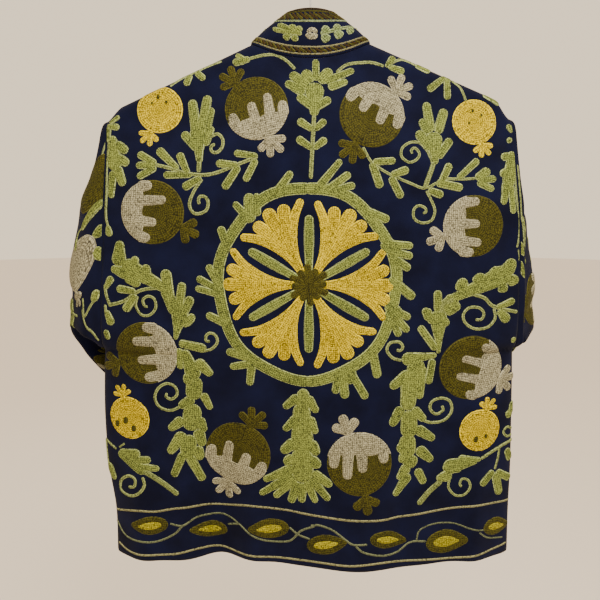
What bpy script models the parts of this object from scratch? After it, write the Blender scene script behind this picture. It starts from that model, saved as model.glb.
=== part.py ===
"""A boxy stand-collar jacket with wide dropped sleeves, hanging flat on a plain wooden hanger.

Metres, +Z up. The origin is the inner top of the hanger's hook, where a rod carries it.
The jacket's front faces -Y, its back +Y, and the wearer's left is +X.
Each cloth piece is a sheet bent to its place and given its wall by a Solidify modifier.
"""

import math

import bmesh
import bpy
import numpy as np
from mathutils import Vector

# Cloth and seams
WALL = 0.0020
SEAM_GAP = 0.0003
ARMHOLE_GAP = 0.0006
SEAM_LEAD = 0.0030
NECK_TURN = 0.060

# Heights below the rod
HEM_HEIGHT = -0.789
UNDERARM_HEIGHT = -0.504
BACK_NECK_HEIGHT = -0.1405
FRONT_NECK_HEIGHT = -0.186

# Neck, shoulder and armhole
NECK_HALF_WIDTH = 0.0735
SHOULDER_RADIUS = 0.0120
SHOULDER_SPREAD = 0.130
ARMHOLE_HALF_DEPTH = 0.030

# Shoulder line of each side: height over the centre, fall per metre, end of the straight, drop at the tip
SHOULDERS = {
    "left": {"peak": -0.0880, "fall": 0.455, "straight": 0.235, "tip_drop": 0.010},
    "right": {"peak": -0.0895, "fall": 0.420, "straight": 0.228, "tip_drop": 0.016},
}

# Half width of the body, from the hem up: height, wearer's left, wearer's right
HALF_WIDTHS = (
    (-0.790, 0.2665, 0.2750),
    (-0.726, 0.2665, 0.2738),
    (-0.675, 0.2728, 0.2740),
    (-0.600, 0.2758, 0.2722),
    (-0.500, 0.2712, 0.2685),
    (-0.440, 0.2660, 0.2650),
    (-0.360, 0.2590, 0.2615),
    (-0.280, 0.2550, 0.2565),
    (-0.200, 0.2540, 0.2500),
)

# Depth of the body from its side seams to the middle of a panel: height, back, front
HALF_DEPTHS = (
    (-0.790, 0.042, 0.038),
    (-0.600, 0.044, 0.041),
    (-0.400, 0.046, 0.044),
    (-0.250, 0.040, 0.040),
    (-0.120, 0.033, 0.034),
)
SECTION_POWER = 2.6

# Soft folds that open towards the hem: centre from the middle, half width, rise at the hem, top height
BACK_FOLDS = (
    (0.228, 0.024, 0.010, -0.520),
    (0.120, 0.033, -0.028, -0.450),
    (0.050, 0.028, -0.006, -0.560),
    (-0.064, 0.060, 0.019, -0.400),
    (-0.150, 0.026, 0.003, -0.600),
    (-0.222, 0.022, 0.008, -0.560),
)
FRONT_FOLDS = (
    (0.205, 0.030, 0.012, -0.520),
    (0.130, 0.034, -0.018, -0.460),
    (0.055, 0.030, 0.011, -0.540),
    (-0.048, 0.032, 0.012, -0.500),
    (-0.118, 0.034, -0.015, -0.470),
    (-0.200, 0.034, 0.013, -0.540),
)

# Opening between the two fronts, at the neck and at the hem
FRONT_GAP_TOP = 0.0030
FRONT_GAP_HEM = 0.0120

# Sleeve rings after the armhole: top line, back line, under line, front line (x is measured outwards)
SLEEVE_RINGS = {
    "left": (
        ((0.263, -0.012, -0.232), (0.297, 0.018, -0.384), (0.277, -0.014, -0.500), (0.271, -0.052, -0.375)),
        ((0.276, -0.070, -0.270), (0.318, -0.015, -0.405), (0.277, -0.050, -0.506), (0.262, -0.090, -0.395)),
        ((0.280, -0.132, -0.342), (0.317, -0.046, -0.465), (0.262, -0.056, -0.532), (0.250, -0.122, -0.440)),
        ((0.272, -0.175, -0.425), (0.294, -0.084, -0.520), (0.234, -0.064, -0.565), (0.234, -0.145, -0.495)),
        ((0.260, -0.195, -0.508), (0.274, -0.104, -0.568), (0.210, -0.070, -0.597), (0.210, -0.158, -0.552)),
        ((0.248, -0.204, -0.585), (0.262, -0.110, -0.610), (0.190, -0.076, -0.624), (0.192, -0.162, -0.604)),
    ),
    "right": (
        ((0.255, -0.013, -0.232), (0.273, 0.018, -0.392), (0.275, -0.013, -0.500), (0.267, -0.052, -0.375)),
        ((0.264, -0.070, -0.272), (0.293, -0.012, -0.405), (0.272, -0.050, -0.506), (0.252, -0.092, -0.395)),
        ((0.264, -0.134, -0.345), (0.286, -0.056, -0.462), (0.252, -0.062, -0.532), (0.232, -0.126, -0.440)),
        ((0.258, -0.178, -0.428), (0.270, -0.092, -0.522), (0.222, -0.068, -0.566), (0.214, -0.150, -0.496)),
        ((0.250, -0.198, -0.512), (0.258, -0.112, -0.570), (0.196, -0.074, -0.598), (0.192, -0.162, -0.554)),
        ((0.240, -0.207, -0.588), (0.250, -0.116, -0.612), (0.178, -0.080, -0.625), (0.178, -0.168, -0.606)),
    ),
}
SLEEVE_EGG = 0.22
SLEEVE_LEAD = 0.09

# Stand collar: it leans in from the neck seam to its narrow top edge
COLLAR_TOP_HALF_WIDTH = 0.0300
COLLAR_TOP_BACK_DEPTH = 0.0210
COLLAR_TOP_FRONT_DEPTH = 0.0330
COLLAR_TOP_HEIGHT = -0.0830
COLLAR_TOP_SIDE_DROP = 0.0020
COLLAR_FRONT_HEIGHT = 0.0520
COLLAR_SWELL = 0.0030

# Hanger: round wooden arms under the shoulders, and a wire hook turned a quarter round
ARM_RADIUS = 0.0092
ARM_REACH = 0.222
ARM_PEAK_SPAN = 0.130
WIRE_RADIUS = 0.0013
HOOK_RADIUS = 0.0190
HOOK_SWEEP = math.radians(222)
FERRULE_RADIUS = 0.0045
FERRULE_LENGTH = 0.0080

# Mesh steps
NECK_COLUMNS = 5
SHOULDER_COLUMNS = 9
TOP_ROW_DROPS = (0.0, 0.0012, 0.0046, 0.0110, 0.0220, 0.0400)
LOWER_ROWS = 18
SLEEVE_SIDES = 28
SLEEVE_STEPS = 13
COLLAR_ROWS = 5

CLOTH_COLOR = (0.012, 0.018, 0.060, 1.0)
WOOD_COLOR = (0.45, 0.27, 0.13, 1.0)
STEEL_COLOR = (0.62, 0.62, 0.64, 1.0)


def ease(value):
    """Goes smoothly from 0 at 0 to 1 at 1."""
    value = np.clip(value, 0.0, 1.0)
    return value * value * (3.0 - 2.0 * value)


def through(rows, column, value):
    """A smooth curve through the rows of a table whose first column rises."""
    table = np.array(rows, dtype=float)
    knots = table[:, 0]
    levels = table[:, column]
    slopes = np.gradient(levels, knots)
    value = np.clip(value, knots[0], knots[-1])
    index = np.clip(np.searchsorted(knots, value) - 1, 0, len(knots) - 2)
    step = knots[index + 1] - knots[index]
    part = (value - knots[index]) / step
    start = (1.0 + 2.0 * part) * (1.0 - part) ** 2 * levels[index]
    start_slope = part * (1.0 - part) ** 2 * step * slopes[index]
    end = part**2 * (3.0 - 2.0 * part) * levels[index + 1]
    end_slope = part**2 * (part - 1.0) * step * slopes[index + 1]
    return start + start_slope + end + end_slope


def half_width(x, height):
    left = through(HALF_WIDTHS, 1, height)
    right = through(HALF_WIDTHS, 2, height)
    return np.where(x >= 0.0, left, right)


def shoulder_height(x):
    """The height of the shoulder line, carried on over the neck opening."""
    result = {}
    for side, line in SHOULDERS.items():
        tip_drop = line["tip_drop"] * ease((np.abs(x) - line["straight"]) / 0.022)
        result[side] = line["peak"] - line["fall"] * np.abs(x) - tip_drop
    return np.where(x >= 0.0, result["left"], result["right"])


def shoulder_half_width(x):
    return half_width(x, HALF_WIDTHS[-1][0])


def armhole_share(x, height):
    """How far down the armhole a height is: 0 at the shoulder tip, 1 at the underarm."""
    tip = shoulder_height(np.sign(x + 1e-12) * shoulder_half_width(x))
    return np.clip((tip - height) / (tip - UNDERARM_HEIGHT), 0.0, 1.0)


def folds_at(folds, x, height):
    rise = np.zeros(np.broadcast(x, height).shape)
    for centre, width, amount, top in folds:
        opening = ease((top - height) / (top - HEM_HEIGHT))
        rise = rise + amount * opening * np.exp(-(((x - centre) / width) ** 2))
    return rise


def cloth_depth(x, height, face):
    """Distance of a body panel from the side seams' plane. face is 1 for the back, -1 for the front."""
    share = armhole_share(x, height)
    open_edge = ARMHOLE_HALF_DEPTH * np.sqrt(1.0 - share**8)
    at_armhole = 1.0 - ease((share - 0.78) / 0.22)
    across = np.clip(np.abs(x) / half_width(x, height), 0.0, 1.0)
    middle = through(HALF_DEPTHS, 1 if face > 0 else 2, height)
    closing = (1.0 - across**SECTION_POWER) ** (0.5 + 0.4 * at_armhole)
    folds = folds_at(BACK_FOLDS if face > 0 else FRONT_FOLDS, x, height)
    full = open_edge + (middle - open_edge) * closing + folds * (1.0 - across**10)
    slope = np.where(x >= 0.0, SHOULDERS["left"]["fall"], SHOULDERS["right"]["fall"])
    radius = SHOULDER_RADIUS * np.sqrt(1.0 + slope**2)
    drop = np.clip(shoulder_height(x) - height, 0.0, None)
    turn = 1.0 - np.clip(drop / radius, 0.0, 1.0)
    over_arm = SHOULDER_RADIUS * np.sqrt(1.0 - turn**2)
    return over_arm + (full - SHOULDER_RADIUS) * ease(drop / SHOULDER_SPREAD)


def top_height(x, face):
    """The height of a panel's top edge: the neckline, then the shoulder seam."""
    across = np.clip(np.abs(x) / NECK_HALF_WIDTH, 0.0, 1.0)
    bottom = BACK_NECK_HEIGHT if face > 0 else FRONT_NECK_HEIGHT
    power = 2.0 if face > 0 else 2.6
    neck_point = shoulder_height(np.sign(x + 1e-12) * NECK_HALF_WIDTH)
    neckline = bottom + (neck_point - bottom) * across**power
    return np.where(np.abs(x) < NECK_HALF_WIDTH, neckline, shoulder_height(x))


def column_spread(side):
    """Places from 0 to 1 across half a panel: even angles to the neck point, then closer at the side."""
    neck = np.sin(np.linspace(0.0, math.pi / 2.0, NECK_COLUMNS + 1))
    even = np.linspace(0.0, 1.0, SHOULDER_COLUMNS + 1)
    shoulder = 0.4 * even + 0.6 * np.sin(even * math.pi / 2.0)
    neck_place = NECK_HALF_WIDTH / float(shoulder_half_width(1.0 if side == "left" else -1.0))
    return np.concatenate([neck * neck_place, neck_place + (1.0 - neck_place) * shoulder[1:]])


def front_edge_shift(x, height, width):
    """How far a point of a front is pushed aside by the opening at the centre front."""
    gap = np.interp(height, [HEM_HEIGHT, FRONT_NECK_HEIGHT], [FRONT_GAP_HEM, FRONT_GAP_TOP]) / 2.0
    return gap * (1.0 - np.clip(np.abs(x) / width, 0.0, 1.0)) ** 2


def panel_points(face, sides):
    """The grid of points of a back or front panel: rows from its top edge to the hem."""
    left = column_spread("left")
    right = -column_spread("right")[::-1]
    across = {"both": np.concatenate([right, left[1:]]), "left": left, "right": right}[sides]
    x_top = across * shoulder_half_width(across)
    top = top_height(x_top, face)
    drops = np.array(TOP_ROW_DROPS)
    rows = []
    for row in range(len(drops) + LOWER_ROWS):
        if row < len(drops):
            height = top - drops[row]
        else:
            part = (row - len(drops) + 1) / LOWER_ROWS
            height = (top - drops[-1]) * (1.0 - part) + HEM_HEIGHT * part
        x = across * half_width(across, height)
        if sides != "both":
            sign = 1.0 if sides == "left" else -1.0
            x = x + sign * front_edge_shift(x, height, half_width(x, height))
        depth = SEAM_GAP / 2.0 + cloth_depth(x, height, face)
        rows.append(np.stack([x, face * depth, height], axis=1))
    points = np.stack(rows)
    points = add_side_leads(points, face, sides)
    return add_top_lead(points, face)


def add_side_leads(points, face, sides):
    """Adds a narrow column inside each side edge, so that the edges of two walls meet squarely."""
    for end in ("left", "right"):
        if sides not in ("both", end):
            continue
        column = -1 if end == "left" else 0
        sign = 1.0 if end == "left" else -1.0
        edge = points[:, column].copy()
        share = armhole_share(edge[:, 0], edge[:, 2])
        open_part = 1.0 - ease((share - 0.78) / 0.22)
        outwards = np.stack([sign * open_part, -face * (1.0 - open_part), 0.0 * open_part], axis=1)
        outwards /= np.linalg.norm(outwards, axis=1)[:, None]
        edge[:, 0] -= sign * SEAM_GAP * (open_part > 0.0)
        inner = edge - SEAM_LEAD * outwards
        points[:, column] = edge
        place = points.shape[1] - 1 if end == "left" else 1
        points = np.insert(points, place, inner, axis=1)
    return points


def add_top_lead(points, face):
    """Adds a narrow row under the neckline and level with the shoulder seam."""
    edge = points[0]
    neck_share = ease((NECK_HALF_WIDTH - np.abs(edge[:, 0])) / NECK_TURN)
    inner = edge.copy()
    inner[:, 1] += SEAM_LEAD * face * (1.0 - neck_share)
    inner[:, 2] -= SEAM_LEAD * neck_share
    lowered = points.copy()
    lowered[1, :, 2] -= SEAM_LEAD * neck_share
    return np.insert(lowered, 1, inner, axis=0)


def armhole_ring(side, angles):
    """The armhole edge of the two panels, as the first ring of a sleeve."""
    sign = 1.0 if side == "left" else -1.0
    tip_x = sign * shoulder_half_width(sign)
    tip = shoulder_height(tip_x)
    height = tip + (UNDERARM_HEIGHT - tip) * (1.0 - np.cos(angles)) / 2.0
    x = sign * (half_width(sign, height) + ARMHOLE_GAP)
    depth = SEAM_GAP / 2.0 + cloth_depth(x, height, 1)
    back = np.sin(angles) >= 0.0
    return np.stack([x, np.where(back, depth, -depth), height], axis=1)


def sleeve_points(side):
    """The rings of a sleeve, from the armhole to the cuff."""
    sign = 1.0 if side == "left" else -1.0
    angles = np.linspace(0.0, 2.0 * math.pi, SLEEVE_SIDES, endpoint=False)
    rings = [armhole_ring(side, angles)]
    for corners in SLEEVE_RINGS[side]:
        top, back, under, front = (np.array(corner) * (sign, 1.0, 1.0) for corner in corners)
        centre = (top + back + under + front) / 4.0
        along = (top - under) / 2.0
        breadth = (back - front) / 2.0
        square = (top - back + under - front) / 4.0
        swing = np.sin(angles) - SLEEVE_EGG * np.sin(2.0 * angles)
        ring = centre + np.outer(np.cos(angles), along) + np.outer(swing, breadth)
        rings.append(ring + np.outer(np.cos(2.0 * angles), square))
    outward = np.array([sign * SEAM_LEAD * 0.7, 0.0, 0.0])
    rings.insert(1, rings[0] + (rings[1] - rings[0]) * SLEEVE_LEAD * 0.4 + outward)
    places = np.array([0.0, SLEEVE_LEAD] + [1.0 + k for k in range(len(rings) - 2)])
    wanted = np.concatenate([[0.0, SLEEVE_LEAD], np.linspace(0.55, places[-1], SLEEVE_STEPS - 1)])
    table = np.column_stack([places, np.stack(rings).reshape(len(rings), -1)])
    columns = [through(table, 1 + k, wanted) for k in range(table.shape[1] - 1)]
    return np.stack(columns, axis=1).reshape(len(wanted), SLEEVE_SIDES, 3)


def collar_points():
    """The grid of the collar: columns from the right front edge round the back, rows from the seam up."""
    step = math.pi / 2.0 / NECK_COLUMNS
    count = 4 * NECK_COLUMNS + 1
    angle = (np.arange(count) - 2 * NECK_COLUMNS) * step
    side = np.where(np.arange(count) < 2 * NECK_COLUMNS, -1.0, 1.0)
    back = np.abs(np.arange(count) - 2 * NECK_COLUMNS) <= NECK_COLUMNS
    across = np.abs(np.sin(angle))
    base_x = side * NECK_HALF_WIDTH * across
    back_height = top_height(base_x, 1.0)
    front_height = top_height(base_x, -1.0)
    base_back = np.stack([base_x, cloth_depth(base_x, back_height, 1.0), back_height], axis=1)
    front_x = base_x + side * front_edge_shift(base_x, front_height, half_width(base_x, front_height))
    base_front = np.stack([front_x, -cloth_depth(base_x, front_height, -1.0), front_height], axis=1)
    base = np.where(back[:, None], base_back, base_front)
    base[:, 2] += 2.0 * SEAM_GAP
    top_x = side * np.maximum(COLLAR_TOP_HALF_WIDTH * across, np.where(back, 0.0, FRONT_GAP_TOP / 2.0))
    depth = np.where(back, COLLAR_TOP_BACK_DEPTH, COLLAR_TOP_FRONT_DEPTH)
    front_drop = FRONT_NECK_HEIGHT + COLLAR_FRONT_HEIGHT - COLLAR_TOP_HEIGHT
    height = COLLAR_TOP_HEIGHT - COLLAR_TOP_SIDE_DROP * across**2
    height = height + np.where(back, 0.0, front_drop * np.cos(angle) ** 2)
    top = np.stack([top_x, depth * np.cos(angle), height], axis=1)
    lead = base + np.array([0.0, 0.0, SEAM_LEAD * 0.6])
    outwards = np.stack([side * across, np.cos(angle), 0.0 * angle], axis=1)
    rows = [base]
    for row in range(COLLAR_ROWS + 1):
        part = row / COLLAR_ROWS
        line = lead * (1.0 - part) + top * part
        rows.append(line + COLLAR_SWELL * math.sin(math.pi * part) * outwards)
    return np.stack(rows)


def clear_scene():
    for obj in list(bpy.data.objects):
        bpy.data.objects.remove(obj, do_unlink=True)
    for group in list(bpy.data.collections):
        bpy.data.collections.remove(group)


def plain_material(name, color, roughness, metallic=0.0):
    material = bpy.data.materials.new(name)
    material.use_nodes = True
    shader = material.node_tree.nodes["Principled BSDF"]
    shader.inputs["Base Color"].default_value = color
    shader.inputs["Roughness"].default_value = roughness
    shader.inputs["Metallic"].default_value = metallic
    material.diffuse_color = color
    return material


def add_object(name, mesh, material, collection):
    obj = bpy.data.objects.new(name, mesh)
    obj.data.materials.append(material)
    collection.objects.link(obj)
    return obj


def give_wall(obj):
    """Turns a sheet into cloth of real thickness, laid on the inner side."""
    wall = obj.modifiers.new("wall", "SOLIDIFY")
    wall.thickness = WALL
    wall.offset = -1.0
    wall.use_even_offset = False
    obj.data.shade_smooth()


def sheet_object(name, points, facing_back, material, collection):
    """A grid primitive bent to its points; rows run down, columns run from the right to the left side."""
    rows, columns = points.shape[:2]
    bpy.ops.mesh.primitive_grid_add(x_subdivisions=columns - 1, y_subdivisions=rows - 1, size=2.0)
    grid = bpy.context.object
    mesh = grid.data
    flat = np.empty(len(mesh.vertices) * 3)
    mesh.vertices.foreach_get("co", flat)
    flat = flat.reshape(-1, 3)
    column = np.rint((flat[:, 0] + 1.0) / 2.0 * (columns - 1)).astype(int)
    row = np.rint((1.0 - flat[:, 1]) / 2.0 * (rows - 1)).astype(int)
    if facing_back:
        column = columns - 1 - column
    mesh.vertices.foreach_set("co", points[row, column].ravel())
    mesh.update()
    mesh = mesh.copy()
    bpy.data.objects.remove(grid, do_unlink=True)
    mesh.name = name
    obj = add_object(name, mesh, material, collection)
    give_wall(obj)
    return obj


def tube_object(name, rings, material, collection):
    """A loft through unlike rings, open at both ends."""
    shape = bmesh.new()
    loops = [[shape.verts.new(point) for point in ring] for ring in rings]
    outward_share = 0.0
    for ring, lower, upper in zip(rings, loops, loops[1:]):
        middle = Vector(np.mean(ring, axis=0))
        for k in range(len(lower)):
            after = (k + 1) % len(lower)
            face = shape.faces.new((lower[k], lower[after], upper[after], upper[k]))
            face.normal_update()
            outward_share += face.normal.dot(face.calc_center_median() - middle)
    if outward_share < 0.0:
        bmesh.ops.reverse_faces(shape, faces=shape.faces)
    mesh = bpy.data.meshes.new(name)
    shape.to_mesh(mesh)
    shape.free()
    obj = add_object(name, mesh, material, collection)
    give_wall(obj)
    return obj


def wire_object(name, points, radius, sides_level, material, collection):
    """A round bar or wire along its centre line, with closed ends."""
    curve = bpy.data.curves.new(name, "CURVE")
    curve.dimensions = "3D"
    curve.bevel_depth = radius
    curve.bevel_resolution = sides_level
    curve.use_fill_caps = True
    spline = curve.splines.new("POLY")
    spline.points.add(len(points) - 1)
    for place, point in zip(spline.points, points):
        place.co = (*point, 1.0)
    return add_object(name, curve, material, collection)


def arm_line(x):
    """The centre line of the hanger's arms: one cloth wall and a little air under the shoulders."""
    slope = np.where(x >= 0.0, SHOULDERS["left"]["fall"], SHOULDERS["right"]["fall"])
    straight = shoulder_height(x) - SHOULDER_RADIUS * np.sqrt(1.0 + slope**2)
    lowered = 0.5 * slope * ARM_PEAK_SPAN * (1.0 - np.abs(x) / ARM_PEAK_SPAN) ** 2
    return straight - np.where(np.abs(x) < ARM_PEAK_SPAN, lowered, 0.0)


def make_hanger_arms(wood, collection):
    x = np.linspace(-ARM_REACH, ARM_REACH, 37)
    points = np.stack([x, 0.0 * x, arm_line(x)], axis=1)
    return wire_object("hanger_arms", points, ARM_RADIUS, 4, wood, collection)


def hook_points(peak):
    """The wire from the arms up the stem, out to the back and over the rod."""
    centre_height = -HOOK_RADIUS + WIRE_RADIUS
    around = np.linspace(0.0, HOOK_SWEEP, 22)
    arc_y = HOOK_RADIUS * np.cos(around)
    arc_z = centre_height + HOOK_RADIUS * np.sin(around)
    stem = [(0.0, 0.0, peak), (0.0, 0.0, centre_height - 0.047)]
    bend = []
    for k in range(1, 7):
        part = k / 7.0
        bend.append((0.0, HOOK_RADIUS * float(ease(part)), centre_height - 0.047 + 0.047 * part))
    arc = [(0.0, float(y), float(z)) for y, z in zip(arc_y, arc_z)]
    return stem + bend + arc


def make_hanger_hook(steel, collection):
    """The wire with the ferrule that seats it on the arms, joined as one body."""
    peak = float(arm_line(np.array(0.0))) + ARM_RADIUS + SEAM_GAP
    wire = wire_object("hook_wire", hook_points(peak + FERRULE_LENGTH / 2.0), WIRE_RADIUS, 2, steel, collection)
    mesh = bpy.data.meshes.new_from_object(wire.evaluated_get(bpy.context.evaluated_depsgraph_get()))
    bpy.data.objects.remove(wire, do_unlink=True)
    shape = bmesh.new()
    shape.from_mesh(mesh)
    bmesh.ops.remove_doubles(shape, verts=shape.verts, dist=0.00005)
    shape.to_mesh(mesh)
    shape.free()
    hook = add_object("hanger_hook", mesh, steel, collection)
    bpy.ops.mesh.primitive_cylinder_add(
        vertices=20,
        radius=FERRULE_RADIUS,
        depth=FERRULE_LENGTH,
        location=(0.0, 0.0, peak + FERRULE_LENGTH / 2.0),
    )
    ferrule = bpy.context.object
    ferrule.name = "ferrule_cutter"
    ferrule.hide_render = True
    ferrule.display_type = "WIRE"
    join = hook.modifiers.new("ferrule", "BOOLEAN")
    join.operation = "UNION"
    join.object = ferrule
    return hook, ferrule


def make_jacket(collection):
    cloth = plain_material("navy_cotton", CLOTH_COLOR, 0.85)
    sheet_object("back_panel", panel_points(1.0, "both"), True, cloth, collection)
    for side in ("left", "right"):
        sheet_object("front_panel_" + side, panel_points(-1.0, side), False, cloth, collection)
        tube_object("sleeve_" + side, sleeve_points(side), cloth, collection)
    sheet_object("stand_collar", collar_points()[::-1], True, cloth, collection)


def main():
    clear_scene()
    jacket = bpy.data.collections.new("jacket_on_hanger")
    cutters = bpy.data.collections.new("cutters")
    bpy.context.scene.collection.children.link(jacket)
    bpy.context.scene.collection.children.link(cutters)
    cutters.hide_render = True
    make_jacket(jacket)
    wood = plain_material("hanger_wood", WOOD_COLOR, 0.45)
    steel = plain_material("hook_steel", STEEL_COLOR, 0.30, metallic=1.0)
    make_hanger_arms(wood, jacket)
    ferrule = make_hanger_hook(steel, jacket)[1]
    for group in list(ferrule.users_collection):
        group.objects.unlink(ferrule)
    cutters.objects.link(ferrule)


main()
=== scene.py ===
"""Embroidered stand-collar jacket hanging on a wooden hanger, seen from behind."""

import itertools
import math

import bpy
import numpy as np
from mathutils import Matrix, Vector


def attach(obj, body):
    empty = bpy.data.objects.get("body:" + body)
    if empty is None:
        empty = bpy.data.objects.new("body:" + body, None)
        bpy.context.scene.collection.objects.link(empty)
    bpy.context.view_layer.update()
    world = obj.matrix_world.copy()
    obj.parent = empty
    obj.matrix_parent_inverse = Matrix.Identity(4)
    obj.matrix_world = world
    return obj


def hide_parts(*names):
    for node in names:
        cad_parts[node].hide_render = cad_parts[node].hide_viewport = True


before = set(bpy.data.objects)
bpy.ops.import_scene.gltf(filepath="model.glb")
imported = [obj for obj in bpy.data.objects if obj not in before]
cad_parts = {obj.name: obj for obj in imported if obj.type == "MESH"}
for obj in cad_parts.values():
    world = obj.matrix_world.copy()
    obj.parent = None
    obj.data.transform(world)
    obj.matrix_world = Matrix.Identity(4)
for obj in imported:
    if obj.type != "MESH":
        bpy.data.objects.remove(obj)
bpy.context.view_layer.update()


# Camera, light and floor.
# The camera looks at the back from a little above. A window light and a ceiling
# light fall on the back and a third on the front side, over a plain pale floor.
camera_data = bpy.data.cameras.new("camera")
camera_data.lens = 37.8
camera_data.sensor_width = 36.0
camera = bpy.data.objects.new("camera", camera_data)
camera.location = (0.013, 0.819, -0.321)
camera.rotation_euler = (math.radians(90.0 - 8.3), 0.0, math.radians(180.0))
bpy.context.scene.collection.objects.link(camera)
bpy.context.scene.camera = camera

world = bpy.data.worlds.new("room")
world.use_nodes = True
room_light = world.node_tree.nodes["Background"]
room_light.inputs["Color"].default_value = (1.0, 0.815, 0.580, 1.0)
room_light.inputs["Strength"].default_value = 1.38
bpy.context.scene.world = world


def area_light(name, place, aim, size, power, color):
    data = bpy.data.lights.new(name, "AREA")
    data.size = size
    data.energy = power
    data.color = color
    light = bpy.data.objects.new(name, data)
    light.location = place
    direction = Vector([end - start for start, end in zip(place, aim)])
    light.rotation_euler = direction.to_track_quat("-Z", "Y").to_euler()
    bpy.context.scene.collection.objects.link(light)


area_light("window_light", (-0.35, 1.05, 0.65), (0.0, 0.0, -0.3), 0.6, 30.0, (1.0, 0.93, 0.82))
area_light("ceiling_light", (0.7, 1.0, 1.9), (0.0, 0.0, -0.4), 1.6, 6.0, (1.0, 0.94, 0.86))
area_light("front_light", (0.6, -2.2, 0.9), (0.0, 0.0, -0.4), 1.6, 12.0, (1.0, 0.95, 0.90))

FLOOR_HEIGHT = -1.55
bpy.ops.mesh.primitive_circle_add(
    vertices=96, radius=16.0, fill_type="NGON", location=(0.0, 0.0, FLOOR_HEIGHT)
)
floor = bpy.context.object
floor.name = "floor"
floor_paint = bpy.data.materials.new("pale_floor")
floor_paint.use_nodes = True
floor_shader = floor_paint.node_tree.nodes["Principled BSDF"]
floor_shader.inputs["Base Color"].default_value = (0.86, 0.80, 0.74, 1.0)
floor_shader.inputs["Roughness"].default_value = 0.9
floor.data.materials.append(floor_paint)


# Back panel.
# One wide piece of navy cotton from side seam to side seam, seamed to the fronts
# along the shoulders and sides. It carries the large embroidery.
SEAM_GAP = 0.0003
CLOTH_WALL = 0.0017
HEM_HEIGHT = -0.789
UNDERARM_HEIGHT = -0.504
BACK_NECK_HEIGHT = -0.1405
FRONT_NECK_HEIGHT = -0.186
NECK_HALF_WIDTH = 0.0735
SHOULDER_RADIUS = 0.0120
SHOULDER_SPREAD = 0.130
SHOULDER_CALM = 0.05
SHOULDER_LINE_HEIGHT = -0.200
TIP_LENGTH = 0.022
ARMHOLE_HALF_DEPTH = 0.030
ARMHOLE_FOOT = 0.78
SECTION_POWER = 2.6
TOP_DROPS = (0.0, 0.0006, 0.0016, 0.003, 0.005, 0.0075, 0.011, 0.0155, 0.021, 0.027, 0.033, 0.040)
LOWER_ROWS = 124
NECK_COLUMNS = 13
SHOULDER_COLUMNS = 43
SHOULDERS = {
    "left": {"peak": -0.0880, "fall": 0.455, "straight": 0.235, "tip_drop": 0.010},
    "right": {"peak": -0.0895, "fall": 0.420, "straight": 0.228, "tip_drop": 0.016},
}
# height, wearer's left, wearer's right
HALF_WIDTHS = (
    (-0.790, 0.2665, 0.2750),
    (-0.726, 0.2665, 0.2738),
    (-0.675, 0.2728, 0.2740),
    (-0.600, 0.2758, 0.2722),
    (-0.500, 0.2712, 0.2685),
    (-0.440, 0.2660, 0.2650),
    (-0.360, 0.2590, 0.2615),
    (-0.280, 0.2550, 0.2565),
    (-0.200, 0.2540, 0.2500),
)
# height, back, front
HALF_DEPTHS = (
    (-0.790, 0.042, 0.038),
    (-0.600, 0.044, 0.041),
    (-0.400, 0.046, 0.044),
    (-0.250, 0.040, 0.040),
    (-0.120, 0.033, 0.034),
)
# centre from the middle, half width, rise at the hem, top height
BACK_FOLDS = (
    (0.228, 0.024, 0.010, -0.520),
    (0.120, 0.033, -0.028, -0.450),
    (0.050, 0.028, -0.006, -0.560),
    (-0.064, 0.060, 0.019, -0.400),
    (-0.150, 0.026, 0.003, -0.600),
    (-0.222, 0.022, 0.008, -0.560),
)
# Creases: start x, start height, end x, end height, half width, lift, bow of the line
BACK_CREASES = (
    (0.262, -0.500, 0.170, -0.560, 0.0090, -0.0030, 0.010),
    (0.262, -0.520, 0.205, -0.610, 0.0080, 0.0026, 0.008),
    (0.250, -0.300, 0.215, -0.470, 0.0110, -0.0030, -0.010),
    (0.232, -0.240, 0.185, -0.400, 0.0120, 0.0022, -0.012),
    (0.190, -0.190, 0.120, -0.260, 0.0130, -0.0018, 0.006),
    (0.085, -0.165, 0.045, -0.250, 0.0120, 0.0016, 0.004),
    (-0.262, -0.500, -0.180, -0.545, 0.0090, -0.0030, -0.010),
    (-0.260, -0.525, -0.210, -0.620, 0.0080, 0.0024, -0.008),
    (-0.250, -0.290, -0.222, -0.450, 0.0110, -0.0032, 0.010),
    (-0.232, -0.230, -0.196, -0.380, 0.0100, 0.0024, 0.012),
    (-0.170, -0.180, -0.105, -0.250, 0.0130, -0.0018, -0.006),
    (-0.080, -0.160, -0.050, -0.240, 0.0110, 0.0014, -0.004),
    (0.020, -0.560, 0.028, -0.730, 0.0140, -0.0022, 0.006),
    (-0.115, -0.600, -0.110, -0.760, 0.0120, -0.0026, 0.004),
    (0.175, -0.620, 0.168, -0.770, 0.0120, 0.0028, 0.004),
    (-0.030, -0.460, 0.070, -0.480, 0.0130, 0.0012, 0.010),
    (0.060, -0.690, -0.060, -0.700, 0.0110, -0.0012, 0.008),
)


def ease(value):
    """From 0 to 1 with soft ends."""
    value = np.clip(value, 0.0, 1.0)
    return value * value * (3.0 - 2.0 * value)


def rounded(part, step, start, start_slope, end, end_slope):
    """A cubic between two places: part runs from 0 to 1 over the step."""
    first = (1.0 + 2.0 * part) * (1.0 - part) ** 2 * start
    first = first + part * (1.0 - part) ** 2 * step * start_slope
    return first + part**2 * (3.0 - 2.0 * part) * end + part**2 * (part - 1.0) * step * end_slope


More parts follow.
